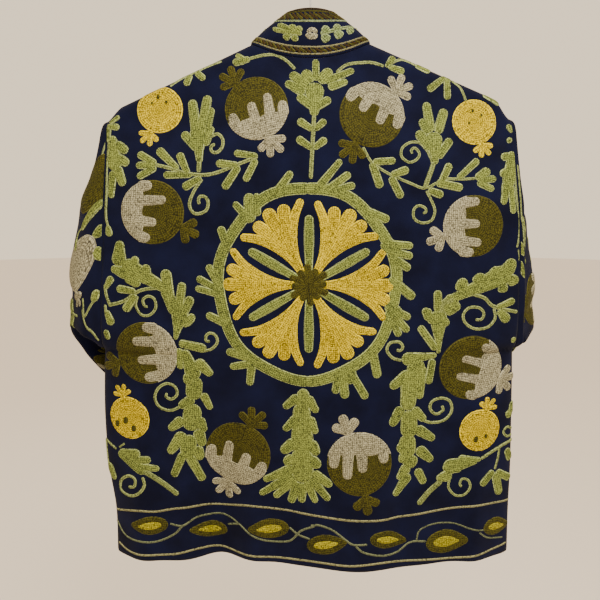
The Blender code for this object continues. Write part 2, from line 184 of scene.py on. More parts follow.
def through(rows, column, value):
    """A smooth line through one column of a table, whose first column is the height."""
    table = np.array(rows, dtype=float)
    table = table[np.argsort(table[:, 0])]
    knots, levels = table[:, 0], table[:, column]
    slopes = np.gradient(levels, knots)
    value = np.clip(value, knots[0], knots[-1])
    index = np.clip(np.searchsorted(knots, value) - 1, 0, len(knots) - 2)
    step = knots[index + 1] - knots[index]
    part = (value - knots[index]) / step
    return rounded(part, step, levels[index], slopes[index], levels[index + 1], slopes[index + 1])


def half_width(x, height):
    return np.where(x >= 0.0, through(HALF_WIDTHS, 1, height), through(HALF_WIDTHS, 2, height))


def shoulder_height(x):
    lines = {}
    for side, line in SHOULDERS.items():
        tip_drop = line["tip_drop"] * ease((np.abs(x) - line["straight"]) / TIP_LENGTH)
        lines[side] = line["peak"] - line["fall"] * np.abs(x) - tip_drop
    return np.where(x >= 0.0, lines["left"], lines["right"])


def shoulder_half_width(x):
    return half_width(x, SHOULDER_LINE_HEIGHT)


def armhole_share(x, height):
    """How far down the armhole a height is: 0 at the shoulder tip, 1 at the underarm."""
    tip = shoulder_height(np.sign(x + 1e-12) * shoulder_half_width(x))
    return np.clip((tip - height) / (tip - UNDERARM_HEIGHT), 0.0, 1.0)


def crease_lift(creases, x, height):
    """Soft ridges and furrows along bowed lines, fading at both ends."""
    lift = np.zeros(np.broadcast(x, height).shape)
    for x0, h0, x1, h1, width, amount, bow in creases:
        length = math.hypot(x1 - x0, h1 - h0)
        along_x, along_h = (x1 - x0) / length, (h1 - h0) / length
        part = ((x - x0) * along_x + (height - h0) * along_h) / length
        aside = (x - x0) * along_h - (height - h0) * along_x - bow * 4.0 * part * (1.0 - part)
        fade = ease((part + 0.15) / 0.35) * ease((1.2 - part) / 0.45)
        lift = lift + amount * fade * np.exp(-((aside / width) ** 2))
    return lift


def cloth_depth(x, height, face):
    """Distance of a panel from the side seams' plane: face is 1 for the back, -1 for the front."""
    share = armhole_share(x, height)
    open_edge = ARMHOLE_HALF_DEPTH * np.sqrt(1.0 - share**8)
    at_armhole = 1.0 - ease((share - ARMHOLE_FOOT) / 0.22)
    across = np.clip(np.abs(x) / half_width(x, height), 0.0, 1.0)
    middle = through(HALF_DEPTHS, 1 if face > 0 else 2, height)
    closing = (1.0 - across**SECTION_POWER) ** (0.5 + 0.4 * at_armhole)
    folds = np.zeros(np.broadcast(x, height).shape)
    for centre, width, amount, top in BACK_FOLDS if face > 0 else FRONT_FOLDS:
        opening = ease((top - height) / (top - HEM_HEIGHT))
        folds = folds + amount * opening * np.exp(-(((x - centre) / width) ** 2))
    full = open_edge + (middle - open_edge) * closing + folds * (1.0 - across**10)
    slope = np.where(x >= 0.0, SHOULDERS["left"]["fall"], SHOULDERS["right"]["fall"])
    radius = SHOULDER_RADIUS * np.sqrt(1.0 + slope**2)
    drop = np.clip(shoulder_height(x) - height, 0.0, None)
    turn = 1.0 - np.clip(drop / radius, 0.0, 1.0)
    over_arm = SHOULDER_RADIUS * np.sqrt(1.0 - turn**2)
    depth = over_arm + (full - SHOULDER_RADIUS) * ease(drop / SHOULDER_SPREAD)
    calm = ease(drop / SHOULDER_CALM) * (1.0 - across**12)
    return depth + calm * crease_lift(BACK_CREASES if face > 0 else FRONT_CREASES, x, height)


def top_height(x, face):
    """The upper edge of a panel: its neckline, then its shoulder seam."""
    across = np.clip(np.abs(x) / NECK_HALF_WIDTH, 0.0, 1.0)
    bottom = BACK_NECK_HEIGHT if face > 0 else FRONT_NECK_HEIGHT
    neck_point = shoulder_height(np.sign(x + 1e-12) * NECK_HALF_WIDTH)
    neckline = bottom + (neck_point - bottom) * across ** (2.0 if face > 0 else 2.6)
    return np.where(np.abs(x) < NECK_HALF_WIDTH, neckline, shoulder_height(x))


def column_spread(side):
    """Shares of the half width, from the middle to the side seam."""
    neck = np.sin(np.linspace(0.0, math.pi / 2.0, NECK_COLUMNS))
    even = np.linspace(0.0, 1.0, SHOULDER_COLUMNS)
    shoulder = 0.6 * even + 0.4 * np.sin(even * math.pi / 2.0)
    neck_place = NECK_HALF_WIDTH / float(shoulder_half_width(1.0 if side == "left" else -1.0))
    return np.concatenate([neck * neck_place, neck_place + (1.0 - neck_place) * shoulder[1:]])


def front_edge_shift(x, height, width):
    """The fronts stand apart in the middle, and the shift fades towards the side seams."""
    gap = np.interp(height, [HEM_HEIGHT, FRONT_NECK_HEIGHT], [FRONT_GAP_HEM, FRONT_GAP_NECK]) / 2.0
    return gap * (1.0 - np.clip(np.abs(x) / width, 0.0, 1.0)) ** 2


def panel_points(face, sides):
    """Rows from the top edge to the hem, columns from the wearer's right to the left."""
    left = column_spread("left")
    right = -column_spread("right")[::-1]
    across = {"both": np.concatenate([right, left[1:]]), "left": left, "right": right}[sides]
    x_top = across * shoulder_half_width(across)
    top = top_height(x_top, face)
    heights = [top - drop for drop in TOP_DROPS]
    for part in (row / LOWER_ROWS for row in range(1, LOWER_ROWS + 1)):
        heights.append((top - TOP_DROPS[-1]) * (1.0 - part) + HEM_HEIGHT * part)
    rows = []
    for height in heights:
        x = across * half_width(across, height)
        if sides != "both":
            sign = 1.0 if sides == "left" else -1.0
            x = x + sign * front_edge_shift(x, height, half_width(x, height))
        depth = face * (SEAM_GAP / 2.0 + cloth_depth(x, height, face))
        rows.append(np.stack([x, depth, height], axis=1))
    return np.stack(rows)


def grid_mesh(name, points, uv, reverse=False, close_round=False):
    """A mesh of quads over a grid of points, with a UV map in metres."""
    rows, columns = points.shape[:2]
    across = columns if close_round else columns - 1
    corner = np.arange(rows - 1)[:, None] * columns + np.arange(across)[None, :]
    after = np.arange(rows - 1)[:, None] * columns + (np.arange(across)[None, :] + 1) % columns
    quads = np.stack([corner, corner + columns, after + columns, after], axis=2).reshape(-1, 4)
    if reverse:
        quads = quads[:, ::-1]
    mesh = bpy.data.meshes.new(name)
    mesh.from_pydata(points.reshape(-1, 3).tolist(), [], quads.tolist())
    layer = mesh.uv_layers.new(name="cloth")
    layer.data.foreach_set("uv", uv.reshape(-1, 2)[quads.ravel()].ravel())
    mesh.shade_smooth()
    return mesh


def add_piece(name, mesh, material):
    piece = bpy.data.objects.new(name, mesh)
    bpy.context.scene.collection.objects.link(piece)
    piece.data.materials.append(material)
    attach(piece, "root")
    return piece


def give_wall(piece):
    """Makes the surface a thin shell, whose other face is inside."""
    wall = piece.modifiers.new("wall", "SOLIDIFY")
    wall.thickness = CLOTH_WALL
    wall.offset = -1.0
    wall.use_even_offset = False
    bpy.ops.object.select_all(action="DESELECT")
    piece.select_set(True)
    bpy.context.view_layer.objects.active = piece
    bpy.ops.object.modifier_apply(modifier="wall")


def add_node(tree, kind, inputs=None, **settings):
    """A shader node with the given settings and input values."""
    node = tree.nodes.new("ShaderNode" + kind)
    for name, value in settings.items():
        setattr(node, name, value)
    for name, value in (inputs or {}).items():
        node.inputs[name].default_value = value
    return node


def link(source, output, target, entry):
    target.id_data.links.new(source.outputs[output], target.inputs[entry])


def add_ramp(tree, dark_place, dark, light_place, light):
    ramp = tree.nodes.new("ShaderNodeValToRGB")
    low, high = ramp.color_ramp.elements
    low.position, low.color = dark_place, (*dark, 1.0)
    high.position, high.color = light_place, (*light, 1.0)
    return ramp


def new_material(name, **values):
    """A material, with values for inputs of its shader, whose names have _ for a space."""
    material = bpy.data.materials.new(name)
    material.use_nodes = True
    shader = material.node_tree.nodes["Principled BSDF"]
    for label, value in values.items():
        shader.inputs[label.replace("_", " ")].default_value = value
    return material, material.node_tree, shader


def new_group(name, inputs, outputs):
    """A shader node group with number inputs and outputs, and its two end nodes."""
    group = bpy.data.node_groups.new(name, "ShaderNodeTree")
    for label, value in inputs.items():
        socket = group.interface.new_socket(label, in_out="INPUT", socket_type="NodeSocketFloat")
        socket.default_value = value
    for label in outputs:
        group.interface.new_socket(label, in_out="OUTPUT", socket_type="NodeSocketFloat")
    return group, group.nodes.new("NodeGroupInput"), group.nodes.new("NodeGroupOutput")


def cotton_weave_group():
    """Plain weave from the cloth's own UV: a height, and how worn the dye is at each point."""
    group, inlet, outlet = new_group("cotton_weave", {"Threads": 260.0}, ("Height", "Wear"))
    place = add_node(group, "UVMap", uv_map="cloth")
    weave = add_node(group, "Math", operation="MAXIMUM")
    for number, direction in enumerate(("X", "Y")):
        uneven = {"Distortion": 1.5, "Detail Scale": 0.4}
        threads = add_node(group, "TexWave", uneven, bands_direction=direction)
        link(place, "UV", threads, "Vector")
        link(inlet, "Threads", threads, "Scale")
        link(threads, "Fac", weave, number)
    link(weave, 0, outlet, "Height")
    patch = add_node(group, "TexNoise", {"Scale": 22.0, "Detail": 6.0})
    link(place, "UV", patch, "Vector")
    link(patch, "Fac", outlet, "Wear")
    return group


def cotton_material(name, dark, light):
    material, tree, shader = new_material(
        name, Roughness=0.92, Sheen_Weight=0.02, Sheen_Roughness=0.45, Specular_IOR_Level=0.10
    )
    weave = add_node(tree, "Group", node_tree=cotton_weave_group())
    tint = add_ramp(tree, 0.34, dark, 0.74, light)
    bump = add_node(tree, "Bump", {"Strength": 0.35, "Distance": 0.0004})
    link(weave, "Wear", tint, "Fac")
    link(tint, "Color", shader, "Base Color")
    link(weave, "Height", bump, "Height")
    link(bump, "Normal", shader, "Normal")
    return material


navy_cotton = cotton_material("navy_cotton", (0.0016, 0.0024, 0.0125), (0.0036, 0.0056, 0.0280))
back_points = panel_points(1.0, "both")
back_mesh = grid_mesh("back_cloth", back_points, back_points[:, :, [0, 2]], reverse=True)
back_panel = add_piece("back_cloth", back_mesh, navy_cotton)
give_wall(back_panel)
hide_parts("back_panel")


# Front panels.
# Two plain navy pieces that meet edge to edge at the centre front, with no
# overlap and no fastening.
# The tables of folds and creases are as on the back.
FRONT_GAP_NECK = 0.003
FRONT_GAP_HEM = 0.012
FRONT_FOLDS = (
    (0.205, 0.030, 0.012, -0.520),
    (0.130, 0.034, -0.018, -0.460),
    (0.055, 0.030, 0.011, -0.540),
    (-0.048, 0.032, 0.012, -0.500),
    (-0.118, 0.034, -0.015, -0.470),
    (-0.200, 0.034, 0.013, -0.540),
)
FRONT_CREASES = (
    (0.262, -0.500, 0.150, -0.590, 0.0100, -0.0032, 0.010),
    (0.258, -0.530, 0.200, -0.640, 0.0080, 0.0026, 0.008),
    (0.245, -0.290, 0.200, -0.470, 0.0120, -0.0034, -0.010),
    (0.215, -0.210, 0.130, -0.360, 0.0130, 0.0024, -0.012),
    (0.110, -0.165, 0.060, -0.320, 0.0130, -0.0020, 0.006),
    (0.075, -0.600, 0.082, -0.770, 0.0110, -0.0026, 0.004),
    (-0.262, -0.500, -0.160, -0.570, 0.0100, -0.0030, -0.010),
    (-0.256, -0.540, -0.190, -0.650, 0.0080, 0.0024, -0.008),
    (-0.245, -0.280, -0.210, -0.450, 0.0120, -0.0032, 0.010),
    (-0.205, -0.200, -0.120, -0.340, 0.0130, 0.0022, 0.012),
    (-0.105, -0.160, -0.070, -0.330, 0.0120, -0.0020, -0.006),
    (-0.080, -0.620, -0.086, -0.770, 0.0110, 0.0022, 0.004),
)
for side in ("left", "right"):
    points = panel_points(-1.0, side)
    name = "front_cloth_" + side
    piece = add_piece(name, grid_mesh(name, points, points[:, :, [0, 2]]), navy_cotton)
    give_wall(piece)
    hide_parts("front_panel_" + side)


# Sleeves.
# One-piece tubes of the same navy cotton, set flat into the dropped armholes.
# They turn forwards, so that their lower ends lie before the fronts.
# Rings from the armhole to the cuff, each with its top, rear, under and front corner
SLEEVE_RINGS = {
    "left": (
        ((0.263, -0.012, -0.232), (0.297, 0.018, -0.384), (0.277, -0.014, -0.500), (0.271, -0.052, -0.375)),
        ((0.276, -0.070, -0.270), (0.318, -0.015, -0.405), (0.277, -0.050, -0.506), (0.262, -0.090, -0.395)),
        ((0.280, -0.132, -0.342), (0.317, -0.046, -0.465), (0.262, -0.056, -0.532), (0.250, -0.122, -0.440)),
        ((0.272, -0.175, -0.425), (0.294, -0.084, -0.520), (0.234, -0.064, -0.565), (0.234, -0.145, -0.495)),
        ((0.260, -0.195, -0.508), (0.274, -0.104, -0.568), (0.210, -0.070, -0.597), (0.210, -0.158, -0.552)),
        ((0.248, -0.204, -0.585), (0.262, -0.110, -0.610), (0.190, -0.076, -0.624), (0.192, -0.162, -0.604)),
    ),
    "right": (
        ((0.255, -0.013, -0.232), (0.273, 0.018, -0.392), (0.275, -0.013, -0.500), (0.267, -0.052, -0.375)),
        ((0.264, -0.070, -0.272), (0.294, -0.012, -0.405), (0.272, -0.050, -0.506), (0.252, -0.092, -0.395)),
        ((0.264, -0.134, -0.345), (0.286, -0.056, -0.462), (0.252, -0.062, -0.532), (0.232, -0.126, -0.440)),
        ((0.258, -0.178, -0.428), (0.270, -0.092, -0.522), (0.222, -0.068, -0.566), (0.214, -0.150, -0.496)),
        ((0.250, -0.198, -0.512), (0.258, -0.112, -0.570), (0.196, -0.074, -0.598), (0.192, -0.162, -0.554)),
        ((0.240, -0.207, -0.588), (0.250, -0.116, -0.612), (0.178, -0.080, -0.625), (0.178, -0.168, -0.606)),
    ),
}
# Creases: start place along, start angle, end place, end angle, half width, lift
SLEEVE_CREASES = {
    "left": (
        (0.3, 2.7, 3.2, 1.9, 0.0100, -0.0060),
        (0.4, 2.2, 3.6, 1.4, 0.0110, 0.0042),
        (0.8, 3.1, 2.6, 3.8, 0.0100, -0.0050),
        (0.3, 1.1, 2.4, 0.9, 0.0120, -0.0036),
        (1.0, 4.6, 4.6, 5.1, 0.0120, 0.0040),
        (2.6, 1.0, 5.4, 1.5, 0.0110, -0.0046),
        (3.2, 2.4, 5.8, 2.2, 0.0090, -0.0040),
        (3.4, 5.6, 5.9, 5.9, 0.0110, 0.0034),
        (1.2, 5.6, 3.6, 6.1, 0.0120, -0.0036),
        (4.0, 0.2, 5.9, 0.6, 0.0100, 0.0032),
    ),
    "right": (
        (0.3, 2.8, 3.0, 2.0, 0.0100, -0.0058),
        (0.4, 2.3, 3.8, 1.5, 0.0110, 0.0040),
        (0.9, 3.0, 2.8, 3.7, 0.0100, -0.0048),
        (0.2, 1.2, 2.6, 1.0, 0.0130, -0.0040),
        (1.2, 4.7, 4.4, 5.0, 0.0120, 0.0038),
        (2.4, 0.8, 5.2, 1.3, 0.0110, -0.0042),
        (3.0, 2.5, 5.7, 2.3, 0.0090, 0.0036),
        (3.2, 5.7, 5.8, 5.8, 0.0110, -0.0036),
        (1.4, 5.5, 3.8, 6.0, 0.0120, 0.0034),
        (4.2, 0.1, 5.9, 0.5, 0.0100, -0.0032),
    ),
}
SLEEVE_EGG = 0.22
# The cloth turns square to the armhole first: place along, share of the first step, width
SEAM_TURN_PLACE = 0.09
SEAM_TURN_SHARE = 0.036
SEAM_TURN_WIDTH = 0.0021
ARMHOLE_CLEARANCE = 0.0002
SLEEVE_RADIUS = 0.085
SLEEVE_STEP = 0.068
SLEEVE_ROWS = 84
SLEEVE_COLUMNS = 112


def sleeve_base(side, places, angles):
    """Points at places along a sleeve (0 armhole, 6 cuff) and angles round it (0 top, pi under)."""
    sign = 1.0 if side == "left" else -1.0
    tip_x = sign * shoulder_half_width(sign)
    tip = shoulder_height(tip_x)
    height = tip + (UNDERARM_HEIGHT - tip) * (1.0 - np.cos(angles)) / 2.0
    x = sign * (half_width(sign, height) + ARMHOLE_CLEARANCE)
    depth = SEAM_GAP / 2.0 + cloth_depth(x, height, 1)
    back = np.sin(angles) >= 0.0
    rings = [np.stack([x, np.where(back, depth, -depth), height], axis=-1)]
    for corners in SLEEVE_RINGS[side]:
        top, rear, under, front = (np.array(corner) * (sign, 1.0, 1.0) for corner in corners)
        swing = np.sin(angles) - SLEEVE_EGG * np.sin(2.0 * angles)
        ring = (top + rear + under + front) / 4.0 + np.cos(angles)[..., None] * (top - under) / 2.0
        ring = ring + swing[..., None] * (rear - front) / 2.0
        rings.append(ring + np.cos(2.0 * angles)[..., None] * (top - rear + under - front) / 4.0)
    outwards = np.array([sign * SEAM_TURN_WIDTH, 0.0, 0.0])
    rings.insert(1, rings[0] + (rings[1] - rings[0]) * SEAM_TURN_SHARE + outwards)
    knots = np.array([0.0, SEAM_TURN_PLACE, 1.0, 2.0, 3.0, 4.0, 5.0, 6.0])
    levels = np.stack(rings)
    slopes = np.gradient(levels, knots, axis=0)
    places = np.clip(places, 0.0, 6.0)
    index = np.clip(np.searchsorted(knots, places) - 1, 0, len(knots) - 2)
    step = knots[index + 1] - knots[index]
    part = ((places - knots[index]) / step)[..., None]
    ends = []
    for knot in (index, index + 1):
        for table in (levels, slopes):
            ends.append(np.take_along_axis(table, knot[None, ..., None], axis=0)[0])
    return rounded(part, step[..., None], *ends)


def sleeve_surface(side, places, angles, depth=0.0):
    """The creased outer face of a sleeve, or a face at a depth inside it."""
    places, angles = np.broadcast_arrays(np.asarray(places, float), np.asarray(angles, float))
    point = sleeve_base(side, places, angles)
    along = sleeve_base(side, places + 0.02, angles) - sleeve_base(side, places - 0.02, angles)
    around = sleeve_base(side, places, angles + 0.02) - sleeve_base(side, places, angles - 0.02)
    normal = np.cross(along, around) * (-1.0 if side == "left" else 1.0)
    normal /= np.linalg.norm(normal, axis=-1)[..., None]
    amount = np.zeros(places.shape)
    for p0, a0, p1, a1, width, height in SLEEVE_CREASES[side]:
        part = np.clip((places - p0) / (p1 - p0), -0.3, 1.3)
        line = a0 + (a1 - a0) * part
        aside = (np.mod(angles - line + math.pi, 2.0 * math.pi) - math.pi) * SLEEVE_RADIUS
        fade = ease((part + 0.1) / 0.4) * ease((1.1 - part) / 0.4)
        amount = amount + height * fade * np.exp(-((aside / width) ** 2))
    amount = amount * ease(places / 0.5)
    return point + normal * (amount + depth)[..., None]


for side in ("left", "right"):
    places = np.concatenate([[0.0, 0.03, SEAM_TURN_PLACE], np.linspace(0.16, 6.0, SLEEVE_ROWS)])
    angles = np.linspace(0.0, 2.0 * math.pi, SLEEVE_COLUMNS, endpoint=False)
    places, angles = np.meshgrid(places, angles, indexing="ij")
    points = sleeve_surface(side, places, angles)
    name = "sleeve_cloth_" + side
    uv = np.stack([angles * SLEEVE_RADIUS, places * SLEEVE_STEP], axis=2)
    mesh = grid_mesh(name, points, uv, reverse=(side == "right"), close_round=True)
    piece = add_piece(name, mesh, navy_cotton)
    give_wall(piece)
    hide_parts("sleeve_" + side)


# Stand collar.
# A stiffened navy band sewn round the neck, open at the front and leaning in to
# its narrow top edge.
COLLAR_COLUMNS = 26
COLLAR_ROWS = 19
COLLAR_RADIUS = 0.06
COLLAR_HEIGHT = 0.058
COLLAR_TOP_HEIGHT = -0.0830
COLLAR_TOP_HALF_WIDTH = 0.0300
COLLAR_TOP_DIP = 0.0020
COLLAR_BACK_DEPTH = 0.0210
COLLAR_FRONT_DEPTH = 0.0330
COLLAR_FRONT_HEIGHT = 0.0520
COLLAR_BELLY = 0.0030
COLLAR_SEAM_TURN = 0.0018


def collar_base(turn, rise):
    """Points of the collar: turn from -pi (right front) through 0 (back) to pi, rise from 0 to 1."""
    turn, rise = np.broadcast_arrays(np.asarray(turn, float), np.asarray(rise, float))
    side = np.where(turn < 0.0, -1.0, 1.0)
    back = np.abs(turn) <= math.pi / 2.0 + 1e-9
    across = np.abs(np.sin(turn))
    base_x = side * NECK_HALF_WIDTH * across
    back_height = top_height(base_x, 1.0)
    front_height = top_height(base_x, -1.0)
    front_x = base_x + side * front_edge_shift(base_x, front_height, half_width(base_x, front_height))
    base = np.where(
        back[..., None],
        np.stack([base_x, cloth_depth(base_x, back_height, 1.0), back_height], axis=-1),
        np.stack([front_x, -cloth_depth(base_x, front_height, -1.0), front_height], axis=-1),
    )
    base[..., 2] += 2.0 * SEAM_GAP
    top_x = side * np.maximum(COLLAR_TOP_HALF_WIDTH * across, np.where(back, 0.0, FRONT_GAP_NECK / 2.0))
    depth = np.where(back, COLLAR_BACK_DEPTH, COLLAR_FRONT_DEPTH)
    front_drop = FRONT_NECK_HEIGHT + COLLAR_FRONT_HEIGHT - COLLAR_TOP_HEIGHT
    height = COLLAR_TOP_HEIGHT - COLLAR_TOP_DIP * across**2
    height = height + np.where(back, 0.0, front_drop * np.cos(turn) ** 2)
    top = np.stack([top_x, depth * np.cos(turn), height], axis=-1)
    outwards = np.stack([side * across, np.cos(turn), 0.0 * turn], axis=-1)
    lead = base + np.array([0.0, 0.0, COLLAR_SEAM_TURN])
    part = np.clip(rise, 0.0, 1.0)[..., None]
    line = lead * (1.0 - part) + top * part
    line = line + COLLAR_BELLY * np.sin(math.pi * part) * outwards
    return np.where(rise[..., None] < 0.0, base, line)


turns = np.linspace(-math.pi, math.pi, 4 * COLLAR_COLUMNS + 1)
rises = np.concatenate([[-1.0], np.linspace(0.0, 1.0, COLLAR_ROWS)])
turn_grid, rise_grid = np.meshgrid(turns, rises[::-1], indexing="xy")
collar_grid = collar_base(turn_grid, rise_grid)
collar_uv = np.stack([turn_grid * COLLAR_RADIUS, rise_grid * COLLAR_HEIGHT], axis=2)
collar_mesh = grid_mesh("collar_cloth", collar_grid, collar_uv, reverse=True)
collar = add_piece("collar_cloth", collar_mesh, navy_cotton)
give_wall(collar)
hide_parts("stand_collar")


# Clothes hanger.
# Round beech arms with a bent steel wire hook, which a small ferrule seats in the
# middle of the arms.
def wood_material():
    material, tree, shader = new_material("beech", Roughness=0.42, Coat_Weight=0.25)
    place = add_node(tree, "TexCoord")
    stretch = add_node(tree, "Mapping", {"Scale": (6.0, 90.0, 90.0)})
    grain = add_node(tree, "TexNoise", {"Scale": 4.0, "Detail": 8.0})
    tint = add_ramp(tree, 0.35, (0.30, 0.16, 0.07), 0.70, (0.52, 0.33, 0.17))
    bump = add_node(tree, "Bump", {"Strength": 0.2, "Distance": 0.0003})
    link(place, "Object", stretch, "Vector")
    link(stretch, "Vector", grain, "Vector")
    link(grain, "Fac", tint, "Fac")
    link(grain, "Fac", bump, "Height")
    link(tint, "Color", shader, "Base Color")
    link(bump, "Normal", shader, "Normal")
    return material


def steel_material():
    material, tree, shader = new_material("drawn_steel", Base_Color=(0.62, 0.62, 0.64, 1.0), Metallic=1.0)
    place = add_node(tree, "TexCoord")
    marks = add_node(tree, "TexNoise", {"Scale": 700.0})
    spread = add_node(tree, "MapRange", {"To Min": 0.22, "To Max": 0.42})
    link(place, "Object", marks, "Vector")
    link(marks, "Fac", spread, "Value")
    link(spread, "Result", shader, "Roughness")
    return material


for node, finish in (("hanger_arms", wood_material()), ("hanger_hook", steel_material())):
    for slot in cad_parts[node].material_slots:
        slot.material = finish


# Embroidery threads.
# Cotton chain stitch in rows, a little proud of the cloth, with a paler chain
# worked round each shape. Every colour is one joined mesh of stitched patches.
def chain_stitch_group():
    """Loops of thread in rows along a patch: loop height, thread tone, painted shade in the gaps, and the
    outline chain.
    """
    group, inlet, outlet = new_group(
        "chain_stitch", {"Loops": 860.0, "Outline Width": 0.0018}, ("Height", "Tone", "Gap Shade", "Outline")
    )
    place = add_node(group, "UVMap", uv_map="stitch")

    # Loops: uneven cells that wander a little off their rows.
    stretch = add_node(group, "Mapping", {"Scale": (0.72, 1.10, 1.0)})
    link(place, "UV", stretch, "Vector")
    wander = add_node(group, "TexNoise", {"Scale": 300.0})
    link(place, "UV", wander, "Vector")
    bend = add_node(group, "VectorMath", {1: (0.0022, 0.0022, 0.0)}, operation="MULTIPLY_ADD")
    link(wander, "Color", bend, 0)
    link(stretch, "Vector", bend, 2)
    loops = add_node(group, "TexVoronoi", feature="F1")
    link(bend, "Vector", loops, "Vector")
    link(inlet, "Loops", loops, "Scale")

    # Ribs across each chain, and rows of chain beside each other.
    uneven = {"Scale": 125.0, "Distortion": 3.0, "Detail": 2.0, "Detail Scale": 2.5}
    ribs = add_node(group, "TexWave", uneven, bands_direction="X")
    even = {"Scale": 120.0, "Distortion": 1.6, "Detail": 1.0, "Detail Scale": 1.5}
    rows = add_node(group, "TexWave", even, bands_direction="Y")
    link(place, "UV", ribs, "Vector")
    link(place, "UV", rows, "Vector")

    # Painted shade: the dark between loops, or between rows where that is darker, stands in for the shade
    # that falls in these gaps.
    gap = add_node(group, "MapRange", {"From Min": 0.45, "From Max": 0.85, "To Max": 0.86})
    link(loops, "Distance", gap, "Value")
    furrow = add_node(group, "MapRange", {"From Max": 0.30, "To Min": 0.78, "To Max": 0.0})
    link(rows, "Fac", furrow, "Value")
    deepest = add_node(group, "Math", operation="MAXIMUM")
    link(gap, "Result", deepest, 0)
    link(furrow, "Result", deepest, 1)
    link(deepest, 0, outlet, "Gap Shade")

    # Height: round loops with the ribs on them.
    round_loop = add_node(group, "Math", {0: 1.0}, operation="SUBTRACT")
    link(loops, "Distance", round_loop, 1)
    height = add_node(group, "Math", {1: 0.45}, operation="MULTIPLY_ADD")
    link(ribs, "Fac", height, 0)
    link(round_loop, 0, height, 2)
    link(height, 0, outlet, "Height")

    # Tone: each loop and patch has its own, and the rib crests are painted lighter as a painted highlight,
    # in step with their height.
    split = add_node(group, "SeparateColor")
    link(loops, "Color", split, "Color")
    patch = add_node(group, "Attribute", attribute_name="tone")
    # Painted highlight on the rib crests, added to the patch's own tone.
    rib_highlight_and_tone = add_node(group, "Math", {1: 0.46}, operation="MULTIPLY_ADD")
    link(ribs, "Fac", rib_highlight_and_tone, 0)
    link(patch, "Fac", rib_highlight_and_tone, 2)
    tone = add_node(group, "Math", {1: 0.62}, operation="MULTIPLY_ADD")
    link(split, "Red", tone, 0)
    link(rib_highlight_and_tone, 0, tone, 2)
    link(tone, 0, outlet, "Tone")

    # Outline: the chain along the rim of a patch.
    edge = add_node(group, "Attribute", attribute_name="edge")
    rim = add_node(group, "MapRange", {"To Min": 0.85, "To Max": 0.0}, interpolation_type="SMOOTHSTEP")
    wide = add_node(group, "Math", {1: 0.6}, operation="MULTIPLY")
    link(inlet, "Outline Width", wide, 0)
    link(edge, "Fac", rim, "Value")
    link(wide, 0, rim, "From Min")
    link(inlet, "Outline Width", rim, "From Max")
    link(rim, "Result", outlet, "Outline")
    return group


def thread_material(name, dark, light, outline):
    material, tree, shader = new_material(name, Roughness=0.72, Specular_IOR_Level=0.14)
    stitch = add_node(tree, "Group", node_tree=chain_stitch)
    # Painted shade for the gaps between loops and rows: a much darker copy of the thread's dark colour.
    gap_shade = (dark[0] * 0.22, dark[1] * 0.22, dark[2] * 0.30, 1.0)
    tint = add_ramp(tree, 0.10, dark, 1.0, light)
    rim = add_node(tree, "Mix", data_type="RGBA")
    rim.inputs["B"].default_value = (*outline, 1.0)
    gap_shade_mix = add_node(tree, "Mix", data_type="RGBA")
    gap_shade_mix.inputs["B"].default_value = gap_shade
    bump = add_node(tree, "Bump", {"Strength": 0.65, "Distance": 0.0008})
    link(stitch, "Tone", tint, "Fac")
    link(stitch, "Outline", rim, "Factor")
    link(tint, "Color", rim, "A")
    link(stitch, "Gap Shade", gap_shade_mix, "Factor")
    link(rim, "Result", gap_shade_mix, "A")
    link(gap_shade_mix, "Result", shader, "Base Color")
    link(stitch, "Height", bump, "Height")
    link(bump, "Normal", shader, "Normal")
    return material


# thread: dark colour, from which the painted shade between the loops is made, colour on the loops and on the
# outline chain
THREAD_COLORS = {
    "leaf_green": ((0.022, 0.037, 0.004), (0.260, 0.318, 0.072), (0.375, 0.455, 0.175)),
    "mint": ((0.050, 0.078, 0.022), (0.240, 0.315, 0.115), (0.330, 0.420, 0.215)),
    "stem_green": ((0.070, 0.098, 0.022), (0.255, 0.305, 0.095), (0.300, 0.360, 0.135)),
    "sage": ((0.045, 0.058, 0.032), (0.150, 0.175, 0.090), (0.165, 0.190, 0.100)),
    "olive": ((0.008, 0.008, 0.000), (0.078, 0.073, 0.005), (0.090, 0.086, 0.012)),
    "bronze": ((0.010, 0.006, 0.000), (0.060, 0.034, 0.005), (0.050, 0.032, 0.006)),
    "grey": ((0.065, 0.060, 0.036), (0.420, 0.402, 0.262), (0.440, 0.424, 0.290)),
    "yellow": ((0.090, 0.055, 0.000), (0.740, 0.575, 0.001), (0.880, 0.700, 0.012)),
    "lime": ((0.110, 0.105, 0.002), (0.440, 0.400, 0.020), (0.380, 0.350, 0.030)),
    "cream": ((0.090, 0.090, 0.036), (0.300, 0.295, 0.140), (0.290, 0.285, 0.140)),
}
chain_stitch = chain_stitch_group()
THREADS = {name: thread_material(name, *colors) for name, colors in THREAD_COLORS.items()}
patches = {name: [] for name in THREADS}
patch_numbers = itertools.count(1)
MM = 0.001
# How far the stitches keep from the edges of a panel
EDGE_CLEARANCE = 0.0015
SIDE_SHARE = 0.996
FRONT_EDGE_CLEARANCE_HEM = 0.0075
FRONT_EDGE_CLEARANCE_NECK = 0.0030
STEEPEST = 1.5
# The rim chain stands up first, then the filling, and each later patch a hair more
STITCH_ROOT = -0.0004
RIM_HEIGHT = 0.00085
RIM_WIDTH = 0.0009
FILLING_START = 0.0006
FILLING_HEIGHT = 0.00055
FILLING_WIDTH = 0.0022
LAYER_HEIGHT = 0.00002
LAYERS = 23
RAISED = 0.0007
# Each patch takes its stitches from another part of the pattern
STITCH_SHIFT = 0.137
STROKE_SPACING = 0.0022
NARROW_STROKE = 0.0062
END_HALF_WIDTH = 0.00002


